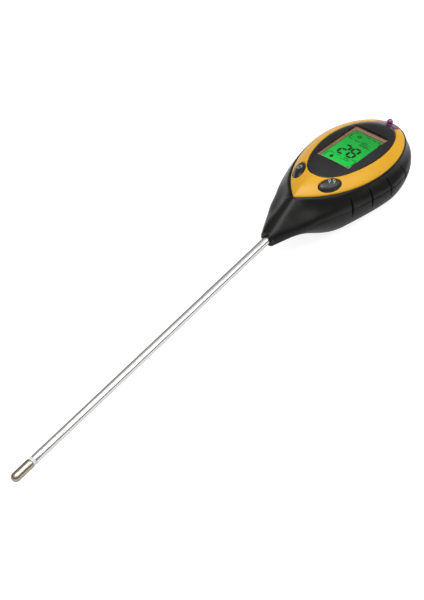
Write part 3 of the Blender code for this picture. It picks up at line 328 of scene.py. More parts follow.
def make_materials():
    return {
        "black": moulded("black_abs", (0.0042, 0.0041, 0.0038), 0.34, 2.4, 0.010 * MM, 0.2,
                         Specular_IOR_Level=0.13),
        "rear": moulded("black_abs_rear", (0.0045, 0.0044, 0.0041), 0.45, 1.6, 0.024 * MM, 0.2,
                        Specular_IOR_Level=0.08),
        "yellow": moulded("yellow_abs", (0.470, 0.244, 0.0105), 0.38, 3.0, 0.008 * MM, 0.05,
                          Specular_IOR_Level=0.24),
        "gloss": moulded("black_gloss", (0.0105, 0.0104, 0.0108), 0.16, 0.8, 0.002 * MM, 0.2,
                         Specular_IOR_Level=0.3),
        "key": moulded("key_black", (0.010, 0.0095, 0.0095), 0.30, 0.9, 0.002 * MM, 0.2,
                       Specular_IOR_Level=0.28),
        "print": moulded("key_print", (0.34, 0.35, 0.37), 0.45, 4.0, 0.004 * MM, 0.1),
        "bronze": moulded("bronze_plastic", (0.205, 0.120, 0.070), 0.5, 1.5, 0.01 * MM, 0.15),
        "segment": moulded("display_segment", (0.001, 0.016, 0.003), 0.5, 3.0, 0.001 * MM, 0.1,
                           Specular_IOR_Level=0.1),
        "milky": moulded("milky_acrylic", (0.70, 0.76, 0.70), 0.3, 0.6, 0.004 * MM, 0.05,
                         Subsurface_Weight=0.2, Subsurface_Radius=(0.001, 0.001, 0.001)),
        "purple": moulded("purple_acrylic", (0.130, 0.006, 0.105), 0.08, 0.5, 0.002 * MM, 0.2,
                          Coat_Weight=0.6),
        "cap": cap_lens(),
        "board": moulded("board_green", (0.012, 0.095, 0.035), 0.35, 0.5, 0.02 * MM, 0.35),
        "chip": moulded("chip_black", (0.012, 0.012, 0.013), 0.5, 3.0, 0.01 * MM, 0.2),
        "rubber": moulded("grey_rubber", (0.05, 0.05, 0.055), 0.75, 1.5, 0.02 * MM, 0.2),
        "white": moulded("white_plastic", (0.47, 0.45, 0.48), 0.42, 2.0, 0.008 * MM, 0.04,
                         Subsurface_Weight=0.15, Subsurface_Radius=(0.001, 0.001, 0.001)),
        "red": moulded("red_insulation", (0.42, 0.012, 0.010), 0.4, 3.0, 0.006 * MM, 0.1),
        "steel": drawn_metal("polished_steel", (0.58, 0.57, 0.565), 0.2, tone=0.05, edge=0.25),
        "screw": drawn_metal("zinc_screw", (0.55, 0.55, 0.56), 0.3, 0.6),
        "nickel": drawn_metal("warm_nickel", (0.34, 0.29, 0.24), 0.22, 0.4, 0.12, edge=0.3),
        "battery": moulded("battery_jacket", (0.012, 0.035, 0.13), 0.24, 0.4, 0.006 * MM, 0.25,
                           Coat_Weight=0.4),
        "clear": moulded("clear_window", (0.05, 0.05, 0.05), 0.06, 0.3, 0.002 * MM, 0.03,
                         Alpha=0.06, Specular_IOR_Level=0.3),
        "lens": moulded("clear_lens", (0.6, 0.62, 0.62), 0.08, 0.5, 0.002 * MM, 0.03, Alpha=0.4),
        "display": lit_display(),
    }


# ---------------------------------------------------------------- meshes

SHARP = 32  # degrees between faces, from which an edge stays sharp


def finished(name, mesh, finish, location=NECK, rotation=(0, 0, 0), sharp=SHARP):
    """A bmesh as a smooth-shaded object with its material."""
    bmesh.ops.recalc_face_normals(mesh, faces=mesh.faces)
    if mesh.calc_volume(signed=True) < 0:
        bmesh.ops.reverse_faces(mesh, faces=mesh.faces)
    data = bpy.data.meshes.new(name)
    mesh.to_mesh(data)
    mesh.free()
    data.shade_smooth()
    data.set_sharp_from_angle(angle=sharp * DEG)
    data.materials.append(finish)
    obj = bpy.data.objects.new(name, data)
    obj.location = location
    obj.rotation_euler = rotation
    bpy.context.collection.objects.link(obj)
    return obj


def on_body(obj, body=HOUSING, stands_for=()):
    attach(obj, body)
    if stands_for:
        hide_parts(*stands_for)


def boolean(obj, tool, operation="DIFFERENCE", location=NECK, rotation=(0, 0, 0)):
    """Cuts, joins or intersects with a tool, given as a bmesh."""
    join(obj, finished("tool", tool, obj.data.materials[0], location, rotation), operation)


def join(obj, helper, operation="UNION"):
    """Applies a Boolean with a helper, keeps the result as the mesh and drops the helper."""
    modifier = obj.modifiers.new("boolean", "BOOLEAN")
    modifier.operation = operation
    modifier.solver = "MANIFOLD"
    modifier.object = helper
    bpy.context.view_layer.update()
    graph = bpy.context.evaluated_depsgraph_get()
    result = bpy.data.meshes.new_from_object(obj.evaluated_get(graph))
    obj.modifiers.clear()
    old, tool = obj.data, helper.data
    obj.data = result
    bpy.data.objects.remove(helper)
    bpy.data.meshes.remove(old)
    bpy.data.meshes.remove(tool)
    obj.data.shade_smooth()
    obj.data.set_sharp_from_angle(angle=SHARP * DEG)


def block(low, high):
    mesh = bmesh.new()
    bmesh.ops.create_cube(mesh, size=1)
    bmesh.ops.scale(mesh, vec=[high[i] - low[i] for i in range(3)], verts=mesh.verts)
    bmesh.ops.translate(mesh, vec=[(high[i] + low[i]) / 2 for i in range(3)], verts=mesh.verts)
    return mesh


def vertex_rows(mesh, rows):
    return [[mesh.verts.new(point) for point in row] for row in rows]


def stitch(mesh, one, two, closed=False):
    """Quads between two rows of vertices; closed joins the rows' ends too."""
    count = len(one)
    for i in range(count if closed else count - 1):
        after = (i + 1) % count
        mesh.faces.new((one[i], one[after], two[after], two[i]))


def loft(rings):
    """Quads between closed rings of points, with an n-gon at each end."""
    mesh = bmesh.new()
    rows = vertex_rows(mesh, rings)
    for one, two in zip(rows, rows[1:]):
        stitch(mesh, one, two, True)
    mesh.faces.new(rows[0])
    mesh.faces.new(rows[-1])
    return mesh


def prism(outline, bottom, top):
    return loft([[(x, y, z) for x, y in outline] for z in (bottom, top)])


def ellipse(half_x, half_y, count=32, turn=0, centre=(0, 0)):
    points = []
    for i in range(count):
        angle = 2 * pi * (i + 0.5) / count
        x, y = half_x * cos(angle), half_y * sin(angle)
        points.append((centre[0] + x * cos(turn) - y * sin(turn),
                       centre[1] + x * sin(turn) + y * cos(turn)))
    return points


def rod(radius, bottom, top, centre=(0, 0)):
    return prism(ellipse(radius, radius, centre=centre), bottom, top)


def turned(profile, count=64, axis="Y"):
    """A profile of (radius, along) points turned about an axis. Its ends close on the axis
    where their radius is zero, and otherwise the profile closes on itself."""
    mesh = bmesh.new()
    rings = vertex_rows(mesh, [[turned_point(radius, 2 * pi * i / count, along, axis)
                                for i in range(count if radius else 1)]
                               for radius, along in profile])
    pairs = list(zip(rings, rings[1:]))
    if len(rings[0]) > 1 and len(rings[-1]) > 1:
        pairs.append((rings[-1], rings[0]))
    for one, two in pairs:
        for i in range(count):
            after = (i + 1) % count
            corners = [one[i % len(one)], one[after % len(one)], two[after % len(two)],
                       two[i % len(two)]]
            mesh.faces.new(list(dict.fromkeys(corners)))
    return mesh


def turned_point(radius, angle, along, axis):
    x, y = radius * cos(angle), radius * sin(angle)
    return (x, along, y) if axis == "Y" else (x, y, along)


def grid_solid(columns):
    """Quads between columns whose first and last points lie on the middle plane."""
    mesh = bmesh.new()
    rows = vertex_rows(mesh, columns)
    mesh.faces.new(rows[0] + rows[-1][-2:0:-1])
    for one, two in zip(rows, rows[1:]):
        stitch(mesh, one, two)
    bmesh.ops.remove_doubles(mesh, verts=mesh.verts, dist=1e-6)
    bmesh.ops.dissolve_degenerate(mesh, edges=mesh.edges, dist=1e-6)
    return mesh


# ---------------------------------------------------------------- the housing's form

def ease(value):
    value = min(max(value, 0), 1)
    return value * value * (3 - 2 * value)


def blend(start, end, amount):
    return start + (end - start) * amount


def leaf_half_width(y):
    s = min(max((CENTRE_Y - y) / LEAF_NEAR, 0), 1)
    pinch = 1 - TIP_PINCH * s ** TIP_PINCH_POWER
    return LEAF_HALF_WIDTH * (1 - s * s) ** TIP_POWER * pinch


def leaf_radius(angle):
    """Distance from the face's centre to its outline; angle 0 is the sensor end."""
    sine, cosine = abs(sin(angle)), cos(angle)
    if cosine >= 0:
        return 1 / hypot(sine / LEAF_HALF_WIDTH, cosine / LEAF_FAR)
    low, high = 0.0, LEAF_NEAR
    for _ in range(40):
        middle = (low + high) / 2
        outside = leaf_half_width(CENTRE_Y - middle) * -cosine < middle * sine
        low, high = (low, middle) if outside else (middle, high)
    return low / -cosine if cosine < -1e-6 else LEAF_HALF_WIDTH


def crown(x, y):
    """Height of the face's surface."""
    angle = atan2(abs(x), y - CENTRE_Y)
    share = hypot(x, y - CENTRE_Y) / leaf_radius(angle)
    drop = CROWN_DROP - CROWN_DROP_SHIFT * cos(angle)
    return FACE_Z - tan(FACE_TILT) * (y - CENTRE_Y) - drop * share ** CROWN_POWER


def belt_half_width(y):
    near = 1 - max(y, 0) / CENTRE_Y
    return NECK_RADIUS + (BELT_HALF_WIDTH - NECK_RADIUS) * (1 - max(near, 0) ** BELT_POWER)


def belt_z(y):
    return (BELT_Z + BELT_SLOPE * (y - BELT_Z_AT)) * ease(y / (50 * MM))


def belly_z(y):
    share = ease((y - BELLY_START) / (BELLY_END - BELLY_START))
    return blend(-NECK_RADIUS, BELLY_Z, share)


def bezier4(controls, t):
    u = 1 - t
    weights = (u ** 4, 4 * u ** 3 * t, 6 * u * u * t * t, 4 * u * t ** 3, t ** 4)
    return tuple(sum(w * p[i] for w, p in zip(weights, controls)) for i in (0, 1))


def shoulder(rim, belt, reach, steps=34):
    """Wall from beside the face plate to the belt, as (outward, z) points: a rounded lip, a
    hollow under it, and a flank that swells to the belt. At the neck's end it is plain round."""
    drop, width = rim[1] - belt[1], belt[0] - rim[0]
    lip = blend(*LIP, ease((reach - LIP_Y[0]) / (LIP_Y[1] - LIP_Y[0])))
    waist = ((rim[0] + lip, rim[1] - 0.1 * lip), (rim[0] + 1.15 * lip, rim[1] - 0.62 * drop),
             (belt[0], belt[1] + 0.5 * drop))
    plain = ((rim[0] + 0.35 * width, rim[1]), (belt[0] - 0.15 * width, rim[1] - 0.15 * drop),
             (belt[0], belt[1] + 0.45 * drop))
    share = ease((reach - 2 * MM) / ROUND_END)
    middle = [tuple(blend(a, b, share) for a, b in zip(one, two)) for one, two in zip(plain, waist)]
    return [bezier4((rim, *middle, belt), i / steps) for i in range(steps + 1)]


def belly(belt, bottom, power, steps=22):
    """Wall from the belt down to the rear face, as (outward, z) points."""
    depth = belt[1] - bottom
    flat = min((belt[1] - REAR_Z) / depth, 1) ** (power / 2)
    last = min(asin(flat), 80 * DEG)
    points = []
    for i in range(1, steps + 1):
        angle = last * i / steps
        z = belt[1] - depth * sin(angle) ** (2 / power)
        points.append((belt[0] * cos(angle) ** (2 / power), max(z, REAR_Z)))
    return points + [(0, points[-1][1] if points[-1][1] <= REAR_Z else bottom)]


def near_column(y, lip):
    """(outward, z) points of the upper and lower halves of the housing at one station."""
    under = RIM_DROP if lip else PLATE_T + PLATE_SEAT
    reach = PLATE_GAP if lip else 0
    if y < SPINE_END:
        top = blend(NECK_RADIUS, SPINE_Z, y / SPINE_END)
        roof = [(0, top), (SPINE_FLAT / 2, top)]
        rim = (SPINE_FLAT, top)
    else:
        width = max(leaf_half_width(y), SPINE_FLAT)
        roof = [(width * k, crown(width * k, y) - under) for k in (0, 0.6)]
        rim = (width + reach, crown(width, y) - under)
    belt = (belt_half_width(y), belt_z(y))
    power = blend(BELLY_POWER[0], BELLY_POWER[1], (y / CENTRE_Y) ** 2)
    return roof + shoulder(rim, belt, y), belly(belt, belly_z(y), power)


def far_column(angle, lip):
    """The same on a plane through the face's centre, turned from the sensor end."""
    under = RIM_DROP if lip else PLATE_T + PLATE_SEAT
    radius = leaf_radius(angle)
    sine, cosine = sin(angle), cos(angle)
    height = [crown(radius * k * sine, CENTRE_Y + radius * k * cosine) - under
              for k in (0, 0.6, 1)]
    reach = 1 / hypot(sine / BELT_HALF_WIDTH, cosine / BELT_FAR)
    belt = (reach, belt_z(CENTRE_Y + reach * cosine))
    roof = [(0, height[0]), (radius * 0.6, height[1])]
    power = blend(BELLY_POWER[1], BELLY_POWER[2], cosine ** 2)
    rim = (radius + (PLATE_GAP if lip else 0), height[2])
    return roof + shoulder(rim, belt, CENTRE_Y), belly(belt, BELLY_Z, power)


def inset(points, distance):
    """Moves (outward, z) points inwards along the curve's own normal."""
    moved = []
    for i, (out, z) in enumerate(points):
        before = points[max(i - 1, 0)]
        after = points[min(i + 1, len(points) - 1)]
        along = Vector((after[0] - before[0], after[1] - before[1])).normalized()
        least = i * 0.02 * MM
        moved.append((max(out + along.y * distance, least), z - along.x * distance))
    return [(0, points[0][1] - distance)] + moved[1:]


def part_gap(y):
    """Half the open joint between the shells, which closes towards the neck."""
    return blend(0.01, 0.16, ease((y - 44 * MM) / (22 * MM))) * MM


def column_half(upper, lower, front, distance, overshoot, gap):
    """The closed half section of one shell. Outside, its wall ends in a small rounded edge."""
    if front:
        curve = inset(upper, distance) if distance else upper
        part = curve[-1][1] + gap - overshoot
    else:
        curve = [upper[-1]] + lower
        if distance:
            flipped = inset([(out, -z) for out, z in curve[::-1]], distance)
            curve = [(out, -z) for out, z in flipped][::-1]
        part = curve[0][1] - gap + overshoot
    belt = curve[-1][0] if front else curve[0][0]
    if distance:
        edge = [(belt, part)]
    else:
        unit = (gap if front else -gap) * 2.8
        inward = abs(unit)
        edge = [(belt, part + unit), (belt - 0.15 * inward, part + 0.45 * unit),
                (belt - 0.45 * inward, part + 0.12 * unit), (belt - 0.9 * inward, part)]
    if front:
        return curve[:-1] + edge + [(0, part)]
    return [(0, part)] + edge[::-1] + curve[1:]


def smooth_lengthways(stations, columns):
    """Averages the wall's columns along the housing, less and less towards the rim, over
    stations that have one opposite them on the other side."""
    rim, rows = SMOOTH_FADE
    result = []
    for i, y in enumerate(stations):
        near = [j for j, other in enumerate(stations)
                if abs(other - y) < SMOOTH_REACH and 0 <= 2 * i - j < len(stations)]
        weights = [1 - abs(stations[j] - y) / SMOOTH_REACH for j in near]
        row = []
        for k, point in enumerate(columns[i]):
            share = ease((k - rim) / rows)
            mean = [sum(w * columns[j][k][axis] for w, j in zip(weights, near)) / sum(weights)
                    for axis in (0, 1)]
            row.append((blend(point[0], mean[0], share), blend(point[1], mean[1], share)))
        result.append(row)
    return result


def shell_body(front, distance=0, overshoot=0, start=0, fine=True):
    """The front or rear half of the housing's form, inset for the inside of the wall."""
    step, spread = (1.25 * MM, 64) if fine else (4 * MM, 24)
    marks = [i * step for i in range(int(CENTRE_Y / step))]
    marks = [y for y in marks if abs(y - SPINE_END) > 0.3 * step]
    marks += [SPINE_END - 0.2 * MM, SPINE_END + 0.2 * MM]
    stations = [start] + sorted(y for y in marks if start < y < CENTRE_Y - 0.5 * step)
    walls = [near_column(y, not distance) for y in stations]
    uppers = smooth_lengthways(stations, [upper for upper, _ in walls])
    right = []
    for y, upper, (_, lower) in zip(stations, uppers, walls):
        half = column_half(upper, lower, front, distance, overshoot, part_gap(y))
        right.append([(out, y, z) for out, z in half])
    fan = []
    for i in range(spread + 1):
        angle = pi / 2 - pi * i / spread
        half = column_half(*far_column(angle, not distance), front, distance, overshoot,
                           part_gap(CENTRE_Y))
        fan.append([(out * sin(angle), CENTRE_Y + out * cos(angle), z)
                    for out, z in half])
    left = [[(-x, y, z) for x, y, z in column] for column in right[::-1]]
    return grid_solid(right + fan + left)


def bezel_radius(angle):
    cosine = cos(angle)
    half_width = BEZEL_HALF_WIDTH * (1 + BEZEL_EGG * cosine)
    return 1 / hypot(sin(angle) / half_width, cosine / BEZEL_HALF_LENGTH)


def slant(radius, angle):
    """How much longer a step across an outline is along the ray than along its normal."""
    step = 0.5 * DEG
    before, after = radius(angle - step), radius(angle + step)
    rise = (after - before) / (2 * step)
    return min(hypot(1, rise / radius(angle)), 2.2)


def polar(radius, angle):
    return radius * sin(angle), CENTRE_Y + radius * cos(angle)


def belt_point(y, side):
    """A point on the belt and the turn of its outward direction in plan."""
    if y <= CENTRE_Y:
        step = 0.1 * MM
        slope = (belt_half_width(y + step) - belt_half_width(y)) / step
        x = belt_half_width(y)
        outward = Vector((1, -slope)).normalized()
    else:
        share = (y - CENTRE_Y) / BELT_FAR
        x = BELT_HALF_WIDTH * sqrt(1 - share * share)
        outward = Vector((x / BELT_HALF_WIDTH ** 2, (y - CENTRE_Y) / BELT_FAR ** 2)).normalized()
    return side * x, atan2(outward.y, side * outward.x)


def on_face(x, along, depth=0):
    """Housing coordinates of a point given on the tilted face's own axes."""
    y = CENTRE_Y + along * cos(FACE_TILT) + depth * sin(FACE_TILT)
    z = FACE_Z - along * sin(FACE_TILT) + depth * cos(FACE_TILT)
    return Vector((x, y, z))


FACE = NECK + Vector((0, CENTRE_Y, FACE_Z))
FACE_TURN = (-FACE_TILT, 0, 0)


def surface(x, along):
    """Height of the crown over a point of the face, on the face's own axes."""
    point = on_face(x, along)
    return (crown(point.x, point.y) - point.z) * cos(FACE_TILT)


# ---------------------------------------------------------------- shells

def rectangle(size, shift_y=0, corner=0.0, steps=5):
    """A rectangle's outline, with rounded corners if corner isn't zero."""
    x, y = size[0] / 2, size[1] / 2
    if not corner:
        return [(-x, shift_y - y), (x, shift_y - y), (x, shift_y + y), (-x, shift_y + y)]
    points = []
    for sx, sy, start in ((1, 1, 0), (-1, 1, 90), (-1, -1, 180), (1, -1, 270)):
        for i in range(steps + 1):
            angle = (start + 90 * i / steps) * DEG
            points.append((sx * (x - corner) + corner * cos(angle),
                           shift_y + sy * (y - corner) + corner * sin(angle)))
    return points


def key_outline(side, grow):
    return ellipse(KEY_HALF[0] + grow, KEY_HALF[1] + grow, 48, -side * KEY_SPLAY,
                   (side * KEY_X, KEY_Y))


def key_cutter(side, flare):
    """A key's hole, whose mouth opens in a rounded edge along the crown."""
    rings = []
    for grow, rise in ((GAP, None), (GAP, -flare), (GAP + 0.15 * flare, -0.4 * flare),
                       (GAP + 0.5 * flare, -0.08 * flare), (GAP + 1.2 * flare, 0.12 * flare),
                       (GAP + 1.2 * flare, 3 * MM)):
        ring = []
        for (x, y) in key_outline(side, grow):
            z = -11 * MM if rise is None else surface(x, y) + rise
            ring.append((x, y, z))
        rings.append(ring)
    return loft(rings)


def cut_face(obj, tool):
    """Cuts with a tool that stands on the tilted face's own axes."""
    boolean(obj, tool, location=FACE, rotation=FACE_TURN)


def crowned(count, marks):
    """Rows of points round the face's centre, from each angle's (radius, drop) marks; a drop
    is measured down from the crown."""
    rows = []
    for i in range(count):
        angle = 2 * pi * i / count
        places = [(*polar(radius, angle), drop) for radius, drop in marks(angle)]
        rows.append([(x, y, crown(x, y) - drop) for x, y, drop in places])
    return rows


def fan(mesh, pole, grid):
    """Faces of rows of vertices that start round a pole."""
    for one, two in zip(grid, grid[1:] + grid[:1]):
        mesh.faces.new((pole, one[0], two[0]))
        stitch(mesh, one, two)


def plate_pocket():
    """Everything over the seat of the face plate, within a running gap of its edge."""
    seat, steps = PLATE_T + PLATE_SEAT, 14

    def marks(angle):
        limit = leaf_radius(angle) + PLATE_GAP * slant(leaf_radius, angle)
        return [(limit * (k / steps) ** 0.8, seat) for k in range(1, steps + 1)]

    mesh = bmesh.new()
    pole = mesh.verts.new((0, CENTRE_Y, FACE_Z - seat))
    grid = vertex_rows(mesh, [row + [(*row[-1][:2], 30 * MM)] for row in crowned(180, marks)])
    fan(mesh, pole, grid)
    mesh.faces.new([row[-1] for row in grid])
    return mesh


def skin_offset(y, rise):
    """How far the skin lies from the belt, along its outward direction, at a height from it."""
    upper, lower = near_column(y, True) if y <= CENTRE_Y else far_column(
        acos((y - CENTRE_Y) / BELT_FAR), True)
    belt = upper[-1]
    wall = upper if rise > 0 else [belt] + lower
    for one, two in zip(wall, wall[1:]):
        low, high = sorted((one, two), key=lambda point: point[1])
        if low[1] <= belt[1] + rise <= high[1]:
            share = (belt[1] + rise - low[1]) / max(high[1] - low[1], 1e-9)
            return blend(low[0], high[0], share) - belt[0]
    return 0


def groove_tool(y, side, steps=28):
    """A lens-shaped notch that follows the skin across the belt, steep on its neck side."""
    rings = []
    for i in range(steps + 1):
        share = 0.98 * (2 * i / steps - 1)
        rise = blend(*GROOVE_REACH, (share + 1) / 2)
        deep = 1 - share * share
        skin = skin_offset(y, rise)
        wide = side * GROOVE_HALF_WIDTH * (0.2 + 0.8 * deep)
        bottom = skin - GROOVE_DEPTH * deep
        mouth = skin + GROOVE_DEPTH
        rings.append([(mouth, -0.9 * wide, rise), (bottom, -0.45 * wide, rise),
                      (bottom, 0.1 * wide, rise), (mouth, 1.9 * wide, rise)])
    return loft(rings)


def cut_grooves(shell):
    for side in (1, -1):
        for y in GROOVE_Y:
            x, turn = belt_point(y, side)
            boolean(shell, groove_tool(y, side), location=NECK + Vector((x, y, belt_z(y))),
                    rotation=(0, 0, turn))


def neck_bore():
    radius, start, end = TUBE_RADIUS + GAP, -5 * MM, NECK_WALL + 1 * MM
    return turned([(0, start), (radius, start), (radius, end), (0, end)], 48)


def make_front_shell(finish):
    shell = finished("front_shell_skin", shell_body(True), finish["black"])
    boolean(shell, shell_body(True, WALL, 3 * MM, NECK_WALL, fine=False))
    boolean(shell, plate_pocket())
    for outline in (rectangle(FRAME_OPENING, WINDOW_SHIFT), key_outline(-1, GAP), key_outline(1, GAP)):
        cut_face(shell, prism(outline, -11 * MM, 6 * MM))
    boolean(shell, rod(SENSOR_HOLE_RADIUS, -8 * MM, 8 * MM, (0, SENSOR_HOLE_Y)))
    boolean(shell, neck_bore())
    cut_grooves(shell)
    on_body(shell, stands_for=("front_shell",))


def make_rear_shell(finish):
    shell = finished("rear_shell_skin", shell_body(False), finish["rear"])
    boolean(shell, shell_body(False, WALL, 3 * MM, NECK_WALL, fine=False))
    top = BAY_TOP + BAY_ROOF
    wide = BAY_HALF_WIDTH + BAY_WALL
    boolean(shell, block((-wide, BAY_Y[0] - BAY_WALL, REAR_Z + 1 * MM),
                         (wide, BAY_Y[1] + BAY_WALL, top)), "UNION")
    wide = POCKET_HALF_WIDTH + BAY_WALL
    boolean(shell, block((-wide, POCKET_Y - BAY_WALL, POCKET_Z - BAY_WALL),
                         (wide, BAY_Y[0] - BAY_WALL / 2, top)), "UNION")
    for x, y in SCREWS:
        boss = finished("boss", rod(BOSS_RADIUS, REAR_Z, belt_z(y) - BOSS_DROP, (x, y)),
                        finish["rear"])
        boolean(boss, shell_body(False, WALL / 2, fine=False), "INTERSECT")
        join(shell, boss)
    boolean(shell, block((-BAY_HALF_WIDTH, BAY_Y[0], -THROUGH), (BAY_HALF_WIDTH, BAY_Y[1], BAY_TOP)))
    boolean(shell, block((-POCKET_HALF_WIDTH, POCKET_Y, POCKET_Z),
                         (POCKET_HALF_WIDTH, BAY_Y[0] + 1 * MM, BAY_TOP)))
    boolean(shell, block((-LEAD_SLOT_HALF_WIDTH, LEAD_SLOT_Y[0], LEAD_SLOT_Z[0]),
                         (LEAD_SLOT_HALF_WIDTH, LEAD_SLOT_Y[1], LEAD_SLOT_Z[1])))
    for x, y in SCREWS:
        boolean(shell, rod(SCREW_HOLE_RADIUS, -THROUGH, 5 * MM, (x, y)))
        boolean(shell, rod(SCREW_WELL_RADIUS, -THROUGH, SCREW_WELL_TOP, (x, y)))
    boolean(shell, neck_bore())
    cut_grooves(shell)
    on_body(shell, stands_for=("rear_shell",))


# ---------------------------------------------------------------- face

def plate_inside(angle):
    return bezel_radius(angle) + GAP


def plate_ring(edge):
    """The face plate's crowned ring round the bezel, with rounded upper edges."""
    corner = [(edge * (1 - cos(a * DEG)), edge * (1 - sin(a * DEG)))
              for a in (0, 22, 45, 68, 90)]
    steps = 12

    def marks(angle):
        low, high = plate_inside(angle), leaf_radius(angle)
        low_slant, high_slant = slant(plate_inside, angle), slant(leaf_radius, angle)
        start, end = low + edge * low_slant, high - edge * high_slant
        return [(low, PLATE_T), *((low + across * low_slant, down) for across, down in corner),
                *((blend(start, end, k / steps), 0) for k in range(1, steps)),
                *((high - across * high_slant, down) for across, down in corner[::-1]),
                (high, PLATE_T)]

    mesh = bmesh.new()
    grid = vertex_rows(mesh, crowned(240, marks))
    for one, two in zip(grid, grid[1:] + grid[:1]):
        stitch(mesh, one, two, True)
    return mesh


def cap_room(half):
    """A block over the notch that the sensor cap fills."""
    return block((-half, CAP_START_Y - 2 * MM, -10 * MM), (half, CAP_START_Y + 18 * MM, 10 * MM))


def make_face_plate(finish):
    plate = finished("face_plate_moulding", plate_ring(PLATE_EDGE), finish["yellow"])
    for side in (-1, 1):
        cut_face(plate, key_cutter(side, KEY_HOLE_EDGE))
    boolean(plate, cap_room(CAP_HALF_WIDTH + GAP))
    on_body(plate, stands_for=("face_plate",))


def make_sensor(finish):
    cap = finished("sensor_cap_lens", plate_ring(CAP_EDGE), finish["cap"])
    boolean(cap, cap_room(CAP_HALF_WIDTH), "INTERSECT")
    boolean(cap, rod(DOME_RADIUS + 0.15 * MM, -10 * MM, 10 * MM, (0, DOME_Y)))
    on_body(cap, stands_for=("sensor_cap",))
    profile = [(0, -DOME_STEM), (DOME_RADIUS, -DOME_STEM)]
    profile += [(DOME_RADIUS * cos(a * DEG), DOME_RADIUS * sin(a * DEG))
                for a in range(0, 90, 6)]
    profile.append((0, DOME_RADIUS))
    dome = finished("sensor_dome_lens", turned(profile, 48, "Z"), finish["purple"],
                    NECK + Vector((0, DOME_Y, DOME_Z)))
    on_body(dome, stands_for=("sensor_dome",))


def bezel_disc():
    """The bezel's crowned oval disc, with a rounded rim."""
    steps, edge = 22, BEZEL_EDGE

    def marks(angle):
        limit = bezel_radius(angle)
        return [*(((limit - edge) * (k / steps), BEZEL_DROP) for k in range(1, steps)),
                *((limit - edge * (1 - sin(a * DEG)), BEZEL_DROP + edge * (1 - cos(a * DEG)))
                  for a in (0, 30, 60, 90)), (limit, BEZEL_DROP + BEZEL_T)]

    mesh = bmesh.new()
    grid = vertex_rows(mesh, crowned(200, marks))
    pole = mesh.verts.new((0, CENTRE_Y, FACE_Z - BEZEL_DROP))
    under = mesh.verts.new((0, CENTRE_Y, FACE_Z - BEZEL_DROP - BEZEL_T - 1 * MM))
    fan(mesh, pole, grid)
    for one, two in zip(grid, grid[1:] + grid[:1]):
        mesh.faces.new((under, two[-1], one[-1]))
    return mesh


def make_bezel(finish):
    bezel = finished("display_bezel_lens", bezel_disc(), finish["gloss"])
    bevel = 0.25 * MM
    rings = []
    for grow, z in ((0, -9 * MM), (0, -0.25 * MM), (bevel, 0.05 * MM), (bevel, 4 * MM)):
        size = (WINDOW[0] + 2 * grow, WINDOW[1] + 2 * grow)
        rings.append([(x, y, z - BEZEL_DROP) for x, y in rectangle(size, WINDOW_SHIFT, 0.4 * MM)])
    cut_face(bezel, loft(rings))
    cut_face(bezel, prism(rectangle(FRAME_OPENING, WINDOW_SHIFT), -9 * MM, FRAME_TOP + GAP))
    on_body(bezel, stands_for=("display_bezel",))


def key_dome(share):
    """Height of a key's dome at a share of the way from its middle to its rim."""
    return KEY_PROUD * (1 - 0.30 * share ** 2 - 0.70 * share ** 9) - KEY_ROLL * share ** 9


def make_key(name, node, side, finish):
    """A domed oval key whose top follows the crown, on the face's own axes."""
    count, steps = 72, 18
    bottom = surface(side * KEY_X, KEY_Y) - PLATE_T - PLATE_SEAT - WALL
    turn = -side * KEY_SPLAY
    centre = (side * KEY_X, KEY_Y)
    rings = [[(x, y, bottom) for x, y in ellipse(*KEY_HALF, count, turn, centre)]]
    for k in range(steps):
        share = (1 - k / steps) ** 0.6
        ring = []
        for x, y in ellipse(KEY_HALF[0] * share, KEY_HALF[1] * share, count, turn, centre):
            ring.append((x, y, surface(x, y) + key_dome(share)))
        rings.append(ring)
    key = finished(name, loft(rings), finish["key"], FACE, FACE_TURN, 50)
    on_body(key, node, stands_for=(node,))
    return turn, centre


def stroke(points, half, closed=False):
    """A flat band of quads along a path of (x, y) points."""
    path = [Vector(point) for point in points]
    count = len(path)
    sides = []
    for i, point in enumerate(path):
        before = path[i - 1] if closed or i else point
        after = path[(i + 1) % count] if closed or i < count - 1 else point
        along = (after - before).normalized()
        across = Vector((-along.y, along.x)) * half
        sides.append((point + across, point - across))
    pairs = list(zip(sides, sides[1:]))
    if closed:
        pairs.append((sides[-1], sides[0]))
    return [(one[0], one[1], two[1], two[0]) for one, two in pairs]


def arc(radius, start, end, count=20, centre=(0, 0)):
    return [(centre[0] + radius * cos(blend(start, end, i / count) * DEG),
             centre[1] + radius * sin(blend(start, end, i / count) * DEG))
            for i in range(count + 1)]


def segment(start, end, cuts):
    """A straight path cut into short steps, so that it can follow a dome."""
    return [(blend(start[0], end[0], i / cuts), blend(start[1], end[1], i / cuts))
            for i in range(cuts + 1)]


def raised(quads, height, thick):
    """Flat quads given thickness; height gives their level at (x, y)."""
    mesh = bmesh.new()
    for quad in quads:
        low, high = vertex_rows(mesh, [[(x, y, height(x, y) + lift) for x, y in quad]
                                       for lift in (0, thick)])
        mesh.faces.new(low)
        mesh.faces.new(high)
        stitch(mesh, low, high, True)
    return mesh


def key_print(name, node, quads, turn, centre, finish):
    """A printed mark on a key, laid on its dome."""
    def height(x, y):
        dx, dy = x - centre[0], y - centre[1]
        across = (dx * cos(turn) + dy * sin(turn)) / KEY_HALF[0]
        along = (-dx * sin(turn) + dy * cos(turn)) / KEY_HALF[1]
        share = min(hypot(across, along), 1)
        return surface(x, y) + key_dome(share) - PRINT_SINK

    moved = [[(p[0] + centre[0], p[1] + centre[1]) for p in quad] for quad in quads]
    made = finished(name, raised(moved, height, PRINT_T), finish["print"], FACE, FACE_TURN)
    on_body(made, node)


